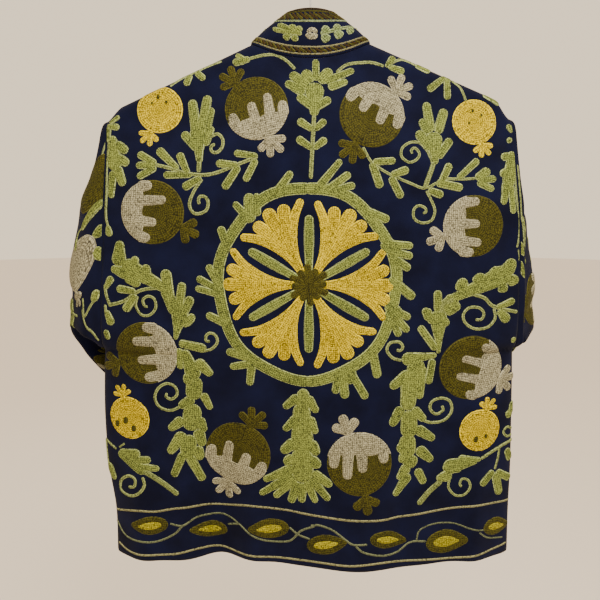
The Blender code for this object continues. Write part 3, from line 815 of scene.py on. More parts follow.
def on_panel(face, sign=0.0):
    """Places on the back (face 1) or a front (face -1), whose x runs to the wearer's right."""

    def place(x, height, lift):
        x = x * face
        limit = half_width(x, height) * SIDE_SHARE
        x = np.clip(x, -limit, limit)
        if sign:
            clearances = [FRONT_EDGE_CLEARANCE_HEM, FRONT_EDGE_CLEARANCE_NECK]
            x = sign * np.maximum(x * sign, np.interp(height, [HEM_HEIGHT, FRONT_NECK_HEIGHT], clearances))
        height = np.minimum(height, top_height(x, face) - EDGE_CLEARANCE)
        height = np.maximum(height, HEM_HEIGHT + EDGE_CLEARANCE)
        step = 0.0008
        depth = cloth_depth(x, height, face)
        slope_x = (cloth_depth(x + step, height, face) - cloth_depth(x - step, height, face)) / (2.0 * step)
        slope_h = (cloth_depth(x, height + step, face) - cloth_depth(x, height - step, face)) / (2.0 * step)
        slope_x = np.clip(slope_x, -STEEPEST, STEEPEST)
        slope_h = np.clip(slope_h, -STEEPEST, STEEPEST)
        normal = np.stack([-slope_x, np.full_like(depth, face), -slope_h], axis=-1)
        normal /= np.linalg.norm(normal, axis=-1)[..., None]
        point = np.stack([x, face * (SEAM_GAP / 2.0 + depth), height], axis=-1)
        return point + normal * lift[..., None]

    return place


on_back = on_panel(1.0)


def stitched_height(edge, order):
    """A rim chain, then the filled rows; later patches lie a hair over earlier ones."""
    rim = RIM_HEIGHT * ease(edge / RIM_WIDTH)
    filling = FILLING_HEIGHT * ease((edge - FILLING_START) / FILLING_WIDTH)
    return STITCH_ROOT + rim + filling + LAYER_HEIGHT * (order % LAYERS)


def smooth_path(points):
    """A rounded line through points, at even spacing, and how far along it each place is."""
    points = np.array(points, dtype=float)
    if len(points) > 2:
        ends = np.concatenate([[2.0 * points[0] - points[1]], points, [2.0 * points[-1] - points[-2]]])
        part = np.linspace(0.0, 1.0, 9)[:-1, None]
        pieces = []
        for k in range(len(points) - 1):
            before, here, after, beyond = ends[k : k + 4]
            slope, next_slope = (after - before) / 2.0, (beyond - here) / 2.0
            pieces.append(rounded(part, 1.0, here, slope, after, next_slope))
        points = np.concatenate(pieces + [points[-1:]])
    lengths = np.concatenate([[0.0], np.cumsum(np.linalg.norm(np.diff(points, axis=0), axis=1))])
    places = np.linspace(0.0, lengths[-1], max(4, int(lengths[-1] / STROKE_SPACING) + 1))
    return np.stack([np.interp(places, lengths, points[:, k]) for k in range(2)], axis=1), places


def work_stroke(thread, path, start_width, end_width, place=on_back, swell=0.0, lift=0.0):
    """A filled finger or stem along a path, with round ends. Sizes are in metres."""
    number = next(patch_numbers)
    line, along = smooth_path(path)
    length = along[-1]
    part = along / length
    half = 0.5 * (start_width + (end_width - start_width) * ease(part) + swell * np.sin(math.pi * part))
    start_round, end_round = min(half[0], 0.45 * length), min(half[-1], 0.45 * length)
    cuts = np.array([0.0, 0.04, 0.15, 0.35, 0.65])
    straight = along[(along > start_round) & (along < length - end_round)]
    starts = np.append(start_round * cuts, start_round)
    along = np.unique(np.concatenate([starts, straight, length - end_round * cuts, [length - end_round]]))
    old = np.linspace(0.0, length, len(line))
    line = np.stack([np.interp(along, old, line[:, k]) for k in range(2)], axis=1)
    half = np.interp(along, old, half)
    from_start, from_end = along, length - along
    near = np.clip(1.0 - from_start / start_round, 0.0, 1.0)
    far = np.clip(1.0 - from_end / end_round, 0.0, 1.0)
    for end in (near, far):
        half = half * np.sqrt(np.clip(1.0 - end**2, 0.0, 1.0))
    half = half + END_HALF_WIDTH
    tangent = np.gradient(line, along, axis=0)
    tangent /= np.linalg.norm(tangent, axis=1)[:, None] + 1e-12
    aside = np.stack([-tangent[:, 1], tangent[:, 0]], axis=1)
    across = np.array([-1.0, -0.86, -0.62, -0.3, 0.0, 0.3, 0.62, 0.86, 1.0])
    if max(start_width, end_width) < NARROW_STROKE:
        across = np.array([-1.0, -0.6, 0.0, 0.6, 1.0])
    spread = across[None, :] * half[:, None]
    flat = line[:, None, :] + spread[..., None] * aside[:, None, :]
    edge = half[:, None] - np.abs(spread)
    edge = np.minimum(edge, np.minimum(from_start, from_end)[:, None] + 0.0002)
    points = place(flat[..., 0], flat[..., 1], stitched_height(edge, number) + lift)
    run = np.broadcast_to(along[:, None], spread.shape) + number * STITCH_SHIFT
    stitch_uv = np.stack([run, spread], axis=-1)
    tone = 0.10 + 0.22 * (math.sin(number * 2.399) * 0.5 + 0.5)
    patches[thread].append((points, stitch_uv, edge, np.full(edge.shape, tone)))


def work_line(thread, line, start_width, end_width, place=on_back, **more):
    """A stroke whose places and widths are in millimetres."""
    path = [(x * MM, height * MM) for x, height in line]
    work_stroke(thread, path, start_width * MM, end_width * MM, place, **more)


def work_disc(thread, centre, radius, place=on_back, turn=0.0):
    """A filled round, its rows running round the centre."""
    number = next(patch_numbers)
    rings = np.array([0.0, 0.12, 0.26, 0.42, 0.58, 0.72, 0.84, 0.92, 0.97, 1.0]) * radius
    angles = np.linspace(0.0, 2.0 * math.pi, 49)
    ring_grid, angle_grid = np.meshgrid(rings, angles, indexing="ij")
    along = ring_grid * np.cos(angle_grid)
    aside = ring_grid * np.sin(angle_grid)
    x = centre[0] + along * math.cos(turn) - aside * math.sin(turn)
    height = centre[1] + along * math.sin(turn) + aside * math.cos(turn)
    edge = radius - ring_grid
    points = place(x, height, stitched_height(edge, number))
    stitch_uv = np.stack([angle_grid * radius * 0.6 + number * STITCH_SHIFT, ring_grid], axis=-1)
    patches[thread].append((points, stitch_uv, edge, np.full(edge.shape, 0.20)))


def finish_threads(prefix):
    """Joins the patches of each colour into one mesh that lies on the cloth."""
    made = []
    for thread, items in patches.items():
        if not items:
            continue
        name = prefix + "_" + thread
        quads, start = [], 0
        for _, _, edge, _ in items:
            rows, columns = edge.shape
            corner = start + np.arange(rows - 1)[:, None] * columns + np.arange(columns - 1)[None, :]
            corners = [corner, corner + 1, corner + columns + 1, corner + columns]
            quads.append(np.stack(corners, axis=2).reshape(-1, 4))
            start += rows * columns
        quads = np.concatenate(quads)
        points = np.concatenate([item[0].reshape(-1, 3) for item in items])
        stitch_uv = np.concatenate([item[1].reshape(-1, 2) for item in items])
        mesh = bpy.data.meshes.new(name)
        mesh.from_pydata(points.tolist(), [], quads.tolist())
        mesh.uv_layers.new(name="stitch").data.foreach_set("uv", stitch_uv[quads.ravel()].ravel())
        for label, column in (("edge", 2), ("tone", 3)):
            values = np.concatenate([item[column].ravel() for item in items])
            mesh.attributes.new(label, "FLOAT", "POINT").data.foreach_set("value", values)
        mesh.shade_smooth()
        piece = add_piece(name, mesh, THREADS[thread])
        items.clear()
        made.append(piece)
    return made


# Embroidered leaves and stems of the back.
# Each leaf is a bunch of round-ended fingers, and each stem a narrow cord of two
# chains. The rows give places on the cloth in millimetres.
# foot, tip, width at the foot, width at the tip
LEAVES = {
    "top tree": (
        (-4, -212, -5, -171, 12.5, 29), (-6, -169, -6, -142, 10.5, 10), (-2, -171, 9, -156, 16.5, 15.5),
        (2, -177, 25, -159, 16.5, 13), (6, -183, 31, -170, 16.5, 11),
        (-10, -171, -25, -154, 16.5, 14.5), (-17, -170, -53, -154, 12.5, 9),
        (-21, -177, -45, -168, 12.5, 9), (-3, -201, 16, -186, 12.5, 12.5),
        (-6, -201, -24, -190, 12.5, 11.5), (-3, -228, 16, -216, 8.5, 11),
        (-4, -228, -18, -216, 8.5, 10), (-2, -250, 17, -237, 8.5, 11), (-3, -250, -19, -238, 8.5, 10.5),
    ),
    "neck leaves": (
        (-92, -150, -103, -137, 6, 11), (-95, -149, -115, -156, 7.5, 10.5),
        (-129, -146, -148, -154, 8.5, 10.5), (74, -140, 95, -146, 8.5, 9), (78, -142, 92, -135, 6, 7.5),
    ),
    "left shoulder": (
        (135, -267, 138, -221, 8.5, 25), (139, -234, 146, -189, 15, 12.5),
        (134, -234, 126, -184, 14.5, 12.5), (130, -236, 121, -199, 14.5, 12),
        (130, -246, 120, -222, 14.5, 11), (137, -251, 157, -229, 12.5, 13),
        (149, -281, 161, -254, 9.5, 12), (161, -275, 188, -249, 9.5, 13),
        (144, -281, 180, -281, 8.5, 10.5), (189, -268, 213, -254, 10.5, 11),
        (189, -269, 215, -269, 12.5, 9.5), (189, -271, 213, -284, 10.5, 10),
        (87, -270, 115, -267, 9.5, 11), (87, -270, 106, -298, 10.5, 11.5),
        (64, -259, 93, -255, 8.5, 9.5), (66, -262, 80, -289, 9.5, 10), (133, -284, 156, -297, 9.5, 12),
        (253, -220, 237, -222, 7.5, 9.5), (252, -221, 254, -240, 8.5, 8.5),
        (250, -217, 237, -208, 6.5, 6.5), (247, -232, 241, -275, 13, 23.5),
        (242, -241, 226, -253, 13, 12.5), (239, -258, 224, -268, 13, 12),
        (240, -270, 230, -294, 15, 12), (244, -275, 247, -309, 13, 9),
        (252, -342, 250, -356, 6.5, 10.5), (96, -144, 79, -143, 9.5, 9.5),
        (148, -157, 154, -172, 9.5, 10.5), (142, -154, 130, -165, 9.5, 9.5),
    ),
    "right shoulder": (
        (-166, -161, -144, -178, 8.5, 10.5), (-168, -162, -169, -189, 9.5, 10),
        (-162, -160, -174, -165, 8.5, 8.5), (-214, -182, -235, -194, 5.5, 7.5),
        (-245, -218, -251, -228, 8.5, 7.5), (-245, -235, -250, -240, 8.5, 8.5),
        (-151, -269, -150, -229, 9.5, 27.5), (-147, -229, -142, -192, 13.5, 12.5),
        (-144, -232, -135, -213, 13.5, 12), (-155, -231, -165, -200, 13.5, 13),
        (-146, -251, -130, -228, 14.5, 14), (-154, -261, -172, -237, 11.5, 12),
        (-97, -282, -119, -274, 9.5, 11.5), (-97, -283, -111, -309, 10.5, 11),
        (-75, -266, -103, -264, 9.5, 9.5), (-74, -266, -85, -297, 10.5, 11.5),
        (-143, -299, -162, -306, 9.5, 11), (-153, -290, -186, -297, 11.5, 11),
        (-159, -290, -170, -267, 9.5, 10.5), (-179, -286, -206, -262, 8.5, 9.5),
        (-202, -286, -220, -274, 12.5, 13.5), (-205, -288, -228, -285, 10.5, 10),
        (-204, -289, -225, -299, 10.5, 9.5), (-251, -251, -244, -296, 13, 21.5),
        (-249, -257, -235, -259, 13, 10.5), (-245, -275, -233, -281, 13, 10.5),
        (-243, -287, -238, -317, 15, 10.5), (-248, -291, -252, -328, 10.5, 8.5),
    ),
    "left side leaf": (
        (179, -421, 235, -389, 15, 26), (240, -393, 237, -361, 23.5, 13),
        (222, -402, 217, -380, 13, 12), (205, -408, 204, -390, 15, 13),
        (227, -404, 250, -395, 19.5, 11), (212, -415, 233, -407, 15, 13),
        (183, -419, 165, -453, 15, 21.5), (175, -440, 180, -396, 15, 15),
        (164, -445, 159, -412, 13, 12), (163, -458, 148, -430, 13, 13), (158, -466, 146, -455, 13, 11),
        (169, -451, 176, -444, 13, 8.5), (219, -425, 244, -421, 9.5, 11.5),
        (219, -428, 235, -450, 11, 12.5), (259, -422, 249, -406, 6.5, 11),
        (259, -449, 253, -469, 9, 12.5),
    ),
    "right side leaf": (
        (-174, -434, -251, -400, 13, 30), (-244, -404, -255, -384, 23.5, 15),
        (-229, -408, -235, -393, 23.5, 15), (-211, -415, -213, -401, 26, 17),
        (-187, -425, -191, -407, 21.5, 15), (-247, -411, -263, -410, 19.5, 13),
        (-238, -417, -248, -424, 19.5, 11), (-168, -447, -181, -429, 13, 23.5),
        (-160, -451, -158, -422, 13, 12), (-154, -464, -144, -445, 13, 11.5),
        (-164, -445, -187, -440, 15, 11), (-162, -464, -174, -460, 17.5, 11),
        (-235, -446, -259, -436, 8.5, 10.5), (-238, -448, -252, -464, 11, 15.5),
    ),
    "left trailing branch": (
        (170, -485, 161, -443, 6.5, 27), (161, -467, 145, -453, 13, 11),
        (165, -447, 176, -442, 13, 9.5), (166, -489, 131, -497, 12, 13),
        (166, -496, 165, -524, 13, 10.5), (160, -498, 146, -537, 13, 24),
        (145, -512, 125, -532, 17.5, 11.5), (152, -530, 158, -544, 20, 13),
        (147, -533, 150, -565, 24, 24), (138, -556, 128, -579, 13.5, 10),
        (149, -563, 169, -574, 17.5, 12.5), (151, -570, 154, -607, 26.5, 26.5),
        (163, -590, 183, -605, 18, 11.5), (145, -589, 137, -610, 18, 11),
        (163, -609, 184, -637, 20, 12), (158, -612, 159, -645, 27, 20),
        (146, -605, 140, -630, 18, 12.5), (149, -629, 143, -649, 20.5, 12.5),
        (164, -635, 179, -669, 13.5, 11.5), (158, -640, 141, -679, 13.5, 11.5),
    ),
    "right trailing branch": (
        (-162, -503, -160, -447, 6.5, 26), (-149, -460, -142, -444, 13, 11),
        (-159, -498, -136, -467, 11, 10.5), (-164, -463, -175, -463, 13, 10),
        (-168, -450, -188, -441, 17, 11), (-160, -505, -115, -510, 8.5, 19.5),
        (-155, -510, -150, -543, 11, 11.5), (-141, -518, -139, -562, 15.5, 12),
        (-140, -511, -127, -531, 24, 24), (-127, -527, -101, -546, 19.5, 12),
        (-127, -522, -124, -576, 26, 22), (-117, -571, -103, -596, 17.5, 13),
        (-130, -574, -148, -591, 17.5, 11), (-126, -576, -127, -613, 24, 25.5),
        (-135, -600, -161, -617, 17.5, 12), (-125, -608, -125, -640, 25.5, 24.5),
        (-138, -627, -159, -646, 18, 12), (-120, -621, -114, -632, 17.5, 12.5),
        (-123, -635, -116, -646, 17.5, 11), (-128, -636, -130, -654, 24.5, 20),
        (-138, -655, -149, -676, 13.5, 11.5), (-127, -650, -113, -668, 18, 9.5),
        (-128, -661, -109, -690, 15.5, 10.5),
    ),
    "bottom tree": (
        (9, -575, 9, -547, 26, 15.5), (14, -557, 34, -573, 15.5, 11), (5, -557, -9, -578, 15.5, 10.5),
        (11, -566, 10, -635, 24, 33), (14, -585, 34, -603, 17.5, 10.5), (3, -584, -8, -606, 17.5, 10),
        (18, -617, 37, -633, 20, 13.5), (1, -616, -10, -634, 20, 12), (20, -640, 34, -648, 20, 14),
        (1, -639, -13, -650, 20, 14), (10, -626, 10, -673, 33.5, 29), (20, -654, 61, -672, 18, 11),
        (21, -664, 66, -692, 18, 10.5), (18, -668, 47, -696, 18, 10.5), (14, -673, 26, -703, 18, 12),
        (10, -673, 11, -701, 15.5, 11.5), (5, -670, -8, -699, 15.5, 10), (0, -665, -25, -694, 15.5, 11),
        (-2, -658, -28, -674, 17.5, 12.5),
    ),
    "left hem leaf": (
        (253, -642, 222, -639, 13.5, 14), (247, -649, 208, -647, 13.5, 12),
        (234, -656, 197, -659, 13.5, 9.5), (254, -641, 215, -664, 13.5, 18),
        (272, -661, 262, -683, 14, 11.5), (259, -450, 252, -468, 9, 12.5), (262, -475, 259, -488, 9, 9),
    ),
    "right hem leaf": (
        (-225, -648, -194, -644, 7, 10), (-220, -648, -174, -657, 11.5, 25),
        (-200, -657, -173, -656, 18, 13.5), (-186, -666, -165, -671, 20.5, 11.5),
        (-244, -666, -226, -684, 11.5, 12), (-247, -669, -255, -702, 14, 13),
        (-248, -668, -272, -683, 11.5, 11.5), (-271, -575, -271, -592, 14, 14),
        (-271, -590, -259, -593, 14, 13), (-263, -639, -271, -657, 11.5, 13.5),
        (-263, -485, -261, -493, 9, 8),
    ),
    "ring leaflets": (
        (42, -297, 23, -279, 12.5, 9.5), (80, -329, 94, -314, 12.5, 10), (77, -327, 75, -303, 17, 15),
        (68, -321, 66, -303, 12.5, 9.5), (107, -363, 111, -343, 12.5, 12),
        (118, -414, 127, -390, 13, 11), (121, -420, 141, -406, 10.5, 10.5),
        (119, -427, 143, -419, 10.5, 9.5), (113, -464, 130, -452, 13, 11),
    ),
    "ring leaflets right": (
        (-12, -289, -37, -263, 12.5, 9), (-25, -292, -48, -279, 12.5, 10.5),
        (-31, -295, -54, -293, 10.5, 10.5), (38, -291, 23, -277, 12.5, 10),
        (-73, -321, -96, -336, 10.5, 12), (-96, -363, -110, -375, 19, 23.5),
        (-102, -363, -126, -367, 12.5, 10), (-106, -373, -126, -380, 12.5, 10.5),
        (-108, -382, -123, -396, 12.5, 11.5), (-109, -412, -129, -432, 13, 12.5),
    ),
    "ring leaflets low": (
        (-103, -443, -112, -458, 17, 21.5), (-105, -447, -125, -457, 15, 11),
        (-108, -456, -123, -474, 15, 11), (-105, -460, -112, -480, 13, 11),
        (-82, -506, -85, -533, 13, 13), (-50, -527, -52, -540, 19.5, 19.5),
        (-57, -536, -71, -559, 11, 12), (-42, -532, -44, -559, 13, 13),
        (-37, -534, -31, -553, 13, 11.5),
    ),
    "ring leaflets low left": (
        (85, -509, 106, -499, 15, 12), (83, -520, 102, -520, 13, 10), (77, -524, 77, -544, 13, 10.5),
    ),
}
# width, places along the cord
STEMS = {
    "top tree": (
        (5.5, (-4, -210), (-2, -247), (0, -286)),
        (4, (-31, -158), (-44, -148), (-63, -145), (-76, -145), (-90, -149)),
    ),
    "neck leaves": (
        (4, (19, -154), (30, -143), (43, -136), (57, -136), (75, -140)),
        (3.5, (-97, -146), (-113, -140), (-130, -146)),
    ),
    "left shoulder": (
        (6, (135, -259), (136, -278)),
        (4.5, (192, -268), (171, -273), (156, -278), (135, -281), (116, -279), (87, -268), (64, -259)),
        (4, (127, -242), (121, -235), (113, -232), (107, -238), (107, -247), (113, -254), (120, -253),
         (121, -247), (116, -244)),
        (4, (132, -286), (142, -300), (148, -315), (145, -325), (138, -328), (128, -324), (125, -315),
         (128, -308), (135, -307), (137, -313), (135, -316)),
        (3, (174, -172), (161, -163), (148, -157), (127, -148), (109, -142)),
        (3, (249, -223), (253, -266), (253, -300), (254, -329), (252, -343)),
    ),
    "right shoulder": (
        (3, (-175, -165), (-185, -174), (-192, -190)),
        (6, (-150, -265), (-145, -280), (-139, -297)),
        (4, (-149, -269), (-142, -253), (-133, -243), (-121, -242), (-111, -249), (-110, -259),
         (-119, -266), (-128, -263), (-132, -256), (-127, -249), (-122, -251), (-123, -256)),
        (4, (-202, -285), (-185, -286), (-164, -286), (-153, -291), (-138, -297), (-121, -291),
         (-104, -284), (-88, -276), (-73, -265), (-63, -248)),
        (4, (-141, -300), (-149, -315), (-152, -325), (-148, -336), (-137, -339), (-127, -334),
         (-126, -323), (-132, -318), (-140, -321), (-141, -326), (-137, -327)),
        (3, (-253, -257), (-256, -308), (-260, -336), (-260, -359), (-258, -370)),
        (2.5, (-260, -372), (-262, -381), (-262, -387)),
    ),
    "left side leaf": (
        (5, (179, -419), (205, -421), (219, -426), (235, -437), (256, -443)),
        (4.5, (254, -442), (258, -429), (259, -416)),
        (4, (217, -430), (220, -443), (213, -454), (202, -454), (194, -445), (195, -434), (203, -430),
         (210, -435), (208, -443), (204, -443)),
        (4, (260, -442), (260, -453)),
    ),
    "right side leaf": (
        (13, (-181, -432), (-168, -440), (-161, -453), (-158, -472)),
        (5, (-198, -426), (-219, -433), (-232, -444), (-264, -452)),
        (4, (-232, -446), (-234, -459), (-225, -470), (-209, -472), (-196, -465), (-192, -454),
         (-199, -445), (-212, -445), (-219, -452), (-216, -460), (-208, -460)),
    ),
    "left trailing branch": (
        (4, (138, -500), (125, -497), (117, -488), (119, -479), (126, -476), (131, -480), (131, -486),
         (126, -487)),
        (4, (167, -574), (180, -579), (194, -575), (200, -563), (195, -550), (184, -544), (173, -548),
         (171, -558), (178, -564), (185, -561), (184, -556)),
    ),
    "right trailing branch": (
        (4, (-115, -511), (-103, -507), (-96, -497), (-100, -488), (-111, -487), (-116, -493),
         (-113, -498), (-108, -497)),
        (4, (-144, -590), (-156, -594), (-172, -592), (-182, -581), (-180, -567), (-168, -562),
         (-156, -566), (-154, -576), (-162, -583), (-171, -578), (-169, -572)),
    ),
    "left hem leaf": (
        (7.5, (220, -661), (197, -676), (173, -694)),
        (3.5, (275, -628), (257, -638)),
        (2.5, (244, -628), (253, -635)),
        (3.5, (275, -628), (274, -653), (272, -664)),
        (4, (220, -671), (218, -683), (227, -695), (241, -700), (253, -695), (252, -681), (240, -672),
         (231, -675), (232, -685), (241, -688)),
    ),
    "right hem leaf": (
        (7.5, (-172, -674), (-156, -687), (-141, -704)),
        (4.5, (-273, -629), (-253, -634), (-225, -647)),
        (4, (-252, -634), (-250, -650), (-246, -665)),
        (4, (-183, -673), (-182, -684), (-191, -695), (-203, -695), (-211, -685), (-208, -675),
         (-200, -673), (-197, -680), (-200, -684)),
        (4, (-272, -614), (-263, -609), (-257, -615), (-263, -622), (-272, -622)),
    ),
}
LEAF_FOOT_SHARE = 0.92
LEAF_TIP_SHARE = 0.94
# The ring's leaflets reach back under its band, and a little in towards the middle of the ring
LEAFLET_ROOT = 0.30
LEAFLET_INSET = 0.05
LEAFLET_CENTRE = (4.0, -416.0)
for plant, fingers in LEAVES.items():
    for x0, h0, x1, h1, foot_width, tip_width in fingers:
        if plant.startswith("ring"):
            x0 = x0 - LEAFLET_ROOT * (x1 - x0) - LEAFLET_INSET * (x0 - LEAFLET_CENTRE[0])
            h0 = h0 - LEAFLET_ROOT * (h1 - h0) - LEAFLET_INSET * (h0 - LEAFLET_CENTRE[1])
        line = [(x0, h0), (x1, h1)]
        work_line("leaf_green", line, foot_width * LEAF_FOOT_SHARE, tip_width * LEAF_TIP_SHARE)
for stalks in STEMS.values():
    for width, *line in stalks:
        work_line("stem_green", line, width, width)


# Ring vine.
# A closed band of leaf green round the middle flower, its leaflets branching
# outwards. It is worked in two halves that overlap a little at the top and bottom.
RING_CENTRE = (0.004, -0.416)
RING_HALF_WIDTH = 0.110
RING_HALF_HEIGHT = 0.120
RING_BAND = 0.0150
RING_WAVE = 0.012
for first, last in ((-92.0, 92.0), (88.0, 272.0)):
    angles = np.radians(np.linspace(first, last, 60))
    wave = 1.0 + RING_WAVE * np.sin(angles * 7.0)
    x = RING_CENTRE[0] + RING_HALF_WIDTH * wave * np.cos(angles)
    height = RING_CENTRE[1] + RING_HALF_HEIGHT * wave * np.sin(angles)
    work_stroke("leaf_green", np.stack([x, height], axis=1), RING_BAND, RING_BAND)


# Middle flower.
# Six yellow palmettes and six narrow green leaves grow out of a dark olive hub,
# which is worked over their feet as a disc with twelve short fingers.
FLOWER_CENTRE = (0.0020, -0.4150)
FLOWER_RADIUS = 0.1045
HUB_EDGE = 0.15
HUB_RADIUS = 0.0085
# lean from the palmette's axis, reach, width at the hub, width at the tip, swell
PALMETTE = (
    (-25.0, 1.010, 0.0080, 0.0088, 0.0045),
    (25.0, 0.985, 0.0080, 0.0088, 0.0045),
    (-12.5, 0.990, 0.0090, 0.0160, 0.0010),
    (12.0, 0.965, 0.0090, 0.0155, 0.0010),
    (-0.5, 1.020, 0.0100, 0.0170, 0.0010),
)


def round_place(centre, radius, direction, along, aside):
    """A point in a round: along runs in the given direction, aside square to it, both in radii."""
    turn = math.radians(direction)
    x = centre[0] - radius * (along * math.cos(turn) - aside * math.sin(turn))
    return x, centre[1] + radius * (along * math.sin(turn) + aside * math.cos(turn))


def flower_finger(thread, angle, start, reach, width, tip_width, lean=0.0, swell=0.0, lift=0.0):
    """A finger of the flower from near the hub outwards, which leans over more and more."""
    places = []
    for part in (0.0, 0.25, 0.5, 0.75, 1.0):
        along = start + (reach - start) * part
        places.append(round_place(FLOWER_CENTRE, FLOWER_RADIUS, angle + lean * part**1.35, along, 0.0))
    work_stroke(thread, places, width, tip_width, swell=swell, lift=lift)


for k in range(6):
    axis = 60.0 * k
    for lean, reach, width, tip_width, swell in PALMETTE:
        flower_finger("yellow", axis, HUB_EDGE, reach, width, tip_width, lean, swell)
    flower_finger("leaf_green", axis + 30.0, HUB_EDGE, 0.82, 0.0085, 0.0105, swell=0.0030)
for k in range(12):
    reach = 0.255 if k % 2 else 0.215
    flower_finger("olive", 30.0 * k + 4.0, 0.0, reach, 0.0070, 0.0095, lift=RAISED)
work_disc("olive", FLOWER_CENTRE, HUB_RADIUS)


# Two-tone pomegranates.
# An olive round with a grey cap that runs down over it in fingers, and at one end
# or at both a small crown of three or four lobes.
# centre, radius, direction of the cap, lobes of a crown,
# drips: place aside and tip along, crowns: direction and thread
POMEGRANATES = (
    ((66, -201), 38.8, -76, 4, ((0.43, -0.33), (-0.13, -0.18), (-0.80, 0.02), (0.84, 0.02)),
     ((-66, "grey"), (130, "olive"))),
    ((-74, -209), 40.0, 62, 4, ((0.34, -0.05), (-0.31, -0.14), (-0.84, 0.00), (0.84, 0.05)),
     ((44, "grey"), (-120, "olive"))),
    ((194, -326), 39.3, 178, 3, ((-0.40, -0.40), (0.32, -0.10), (0.82, 0.10), (-0.84, 0.05)),
     ((-27, "olive"),)),
    ((-201, -343), 38.2, 180, 3, ((-0.80, -0.13), (-0.08, -0.16), (0.54, -0.22), (0.86, 0.02)),
     ((199, "grey"),)),
    ((209, -504), 40.9, 5, 3, ((0.42, -0.34), (-0.24, -0.30), (-0.80, -0.12), (0.84, 0.02)),
     ((201, "olive"),)),
    ((-206, -523), 42.3, -15, 4, ((0.22, -0.36), (-0.36, -0.36), (0.74, 0.12), (-0.84, 0.08)),
     ((-23, "grey"),)),
    ((94, -638), 43.1, -105, 4, ((-0.32, -0.28), (0.29, -0.10), (0.82, 0.02), (-0.84, 0.00)),
     ((-109, "grey"), (66, "olive"))),
    ((-63, -644), 42.0, 92, 3, ((0.39, -0.42), (-0.08, -0.22), (-0.76, 0.02), (0.80, -0.08)),
     ((110, "grey"), (-80, "olive"))),
)
DRIP_WIDTH = 0.31
DRIP_ROOT_WIDTH = 1.25
OUTER_DRIP = 0.6
CAP_HALF_WIDTH = 0.965
CAP_BORDER = 0.27
CROWN_SIZE = 0.52
CROWN_LEANS = {3: (-50.0, 0.0, 50.0), 4: (-66.0, -22.0, 22.0, 66.0)}
CROWN_LOBE_WIDTH = {3: 0.60, 4: 0.50}


def work_cap(thread, centre, radius, direction, drips, place):
    """The cap of a pomegranate: part of the round with a wavy border, and drips over the rest."""
    number = next(patch_numbers)
    across = np.linspace(-CAP_HALF_WIDTH, CAP_HALF_WIDTH, 49)
    arc = np.sqrt(1.0 - across**2)
    border = np.clip(CAP_BORDER + 0.03 * np.cos(across * 9.0), None, arc * 0.96)
    rows = np.array([0.0, 0.05, 0.12, 0.22, 0.36, 0.52, 0.68, 0.82, 0.92, 0.97, 1.0])[:, None]
    up = border[None, :] * (1.0 - rows) + arc[None, :] * rows
    side = np.broadcast_to(across[None, :], up.shape)
    edge = radius * np.clip(np.minimum(1.0 - np.sqrt(side**2 + up**2), up - border[None, :]), 0.0, 1.0)
    edge = np.minimum(edge, radius * (0.966 - np.abs(side)))
    x, height = round_place(centre, radius * 1.004, direction, up, side)
    points = place(x, height, stitched_height(edge, number) + RAISED)
    stitch_uv = np.stack([side * radius + number * STITCH_SHIFT, up * radius], axis=-1)
    tone = np.full(edge.shape, 0.22)
    patches[thread].append((points[:, ::-1], stitch_uv[:, ::-1], edge[:, ::-1], tone))
    for aside, tip in drips:
        root, inward = (0.50, 0.90) if abs(aside) > OUTER_DRIP else (0.62, 0.82)
        line = [round_place(centre, radius, direction, root, aside * inward)]
        line.append(round_place(centre, radius, direction, tip - 0.04, aside))
        width = radius * DRIP_WIDTH
        work_stroke(thread, line, width * DRIP_ROOT_WIDTH, width, place, lift=RAISED)


def work_crown(thread, centre, radius, direction, size, lobes, place):
    """Short round lobes that spread from the rim of a round."""
    root = round_place(centre, radius, direction, 0.93, 0.0)
    for lean in CROWN_LEANS[lobes]:
        reach = size * (1.12 if abs(lean) < 40.0 else 0.98)
        neck = round_place(root, size * 0.22, direction, 1.0, 0.0)
        tip = round_place(neck, reach, direction + lean, 1.0, 0.0)
        work_stroke(thread, [root, neck, tip], size * 0.36, size * CROWN_LOBE_WIDTH[lobes], place)


def work_pomegranate(centre, radius, direction, lobes, drips, crowns, place=on_back):
    centre, radius = (centre[0] * MM, centre[1] * MM), radius * MM
    for crown_direction, thread in crowns:
        work_crown(thread, centre, radius, crown_direction, radius * CROWN_SIZE, lobes, place)
    work_disc("olive", centre, radius, place, turn=math.radians(direction))
    work_cap("grey", centre, radius, direction, drips, place)


for fruit in POMEGRANATES:
    work_pomegranate(*fruit)


# Small yellow pomegranates.
# Yellow rounds near the shoulders and the hem, each with a yellow crown and a few
# olive seeds worked over the filling.
# centre, radius, direction of the crown, seeds: place from the centre and size
SEED_FRUITS = (
    ((186, -201), 29.0, -113, ((2, 15, 8), (-8, 9, 7), (10, 8, 6))),
    ((-202, -216), 27.8, -72, ((2, 13, 7), (-9, 8, 6), (7, -2, 6))),
    ((236, -592), 28.4, 105, ((17, -10, 12.0), (4.6, -4.4, 13.0), (-6.5, -14, 12.0))),
    ((-222, -608), 28.2, 72, ((6, -12, 12.0), (-8, -9, 9.0))),
)


def work_seed_fruit(centre, radius, direction, seeds, place=on_back):
    centre, radius = (centre[0] * MM, centre[1] * MM), radius * MM
    work_crown("yellow", centre, radius, direction, radius * CROWN_SIZE, 4, place)
    work_disc("yellow", centre, radius, place)
    for x, height, size in seeds:
        x, height, size = centre[0] + x * MM, centre[1] + height * MM, size * MM
        line = [(x - size * 0.3, height), (x + size * 0.3, height + size * 0.1)]
        work_stroke("olive", line, size * 0.9, size * 0.8, place, lift=RAISED)


for fruit in SEED_FRUITS:
    work_seed_fruit(*fruit)


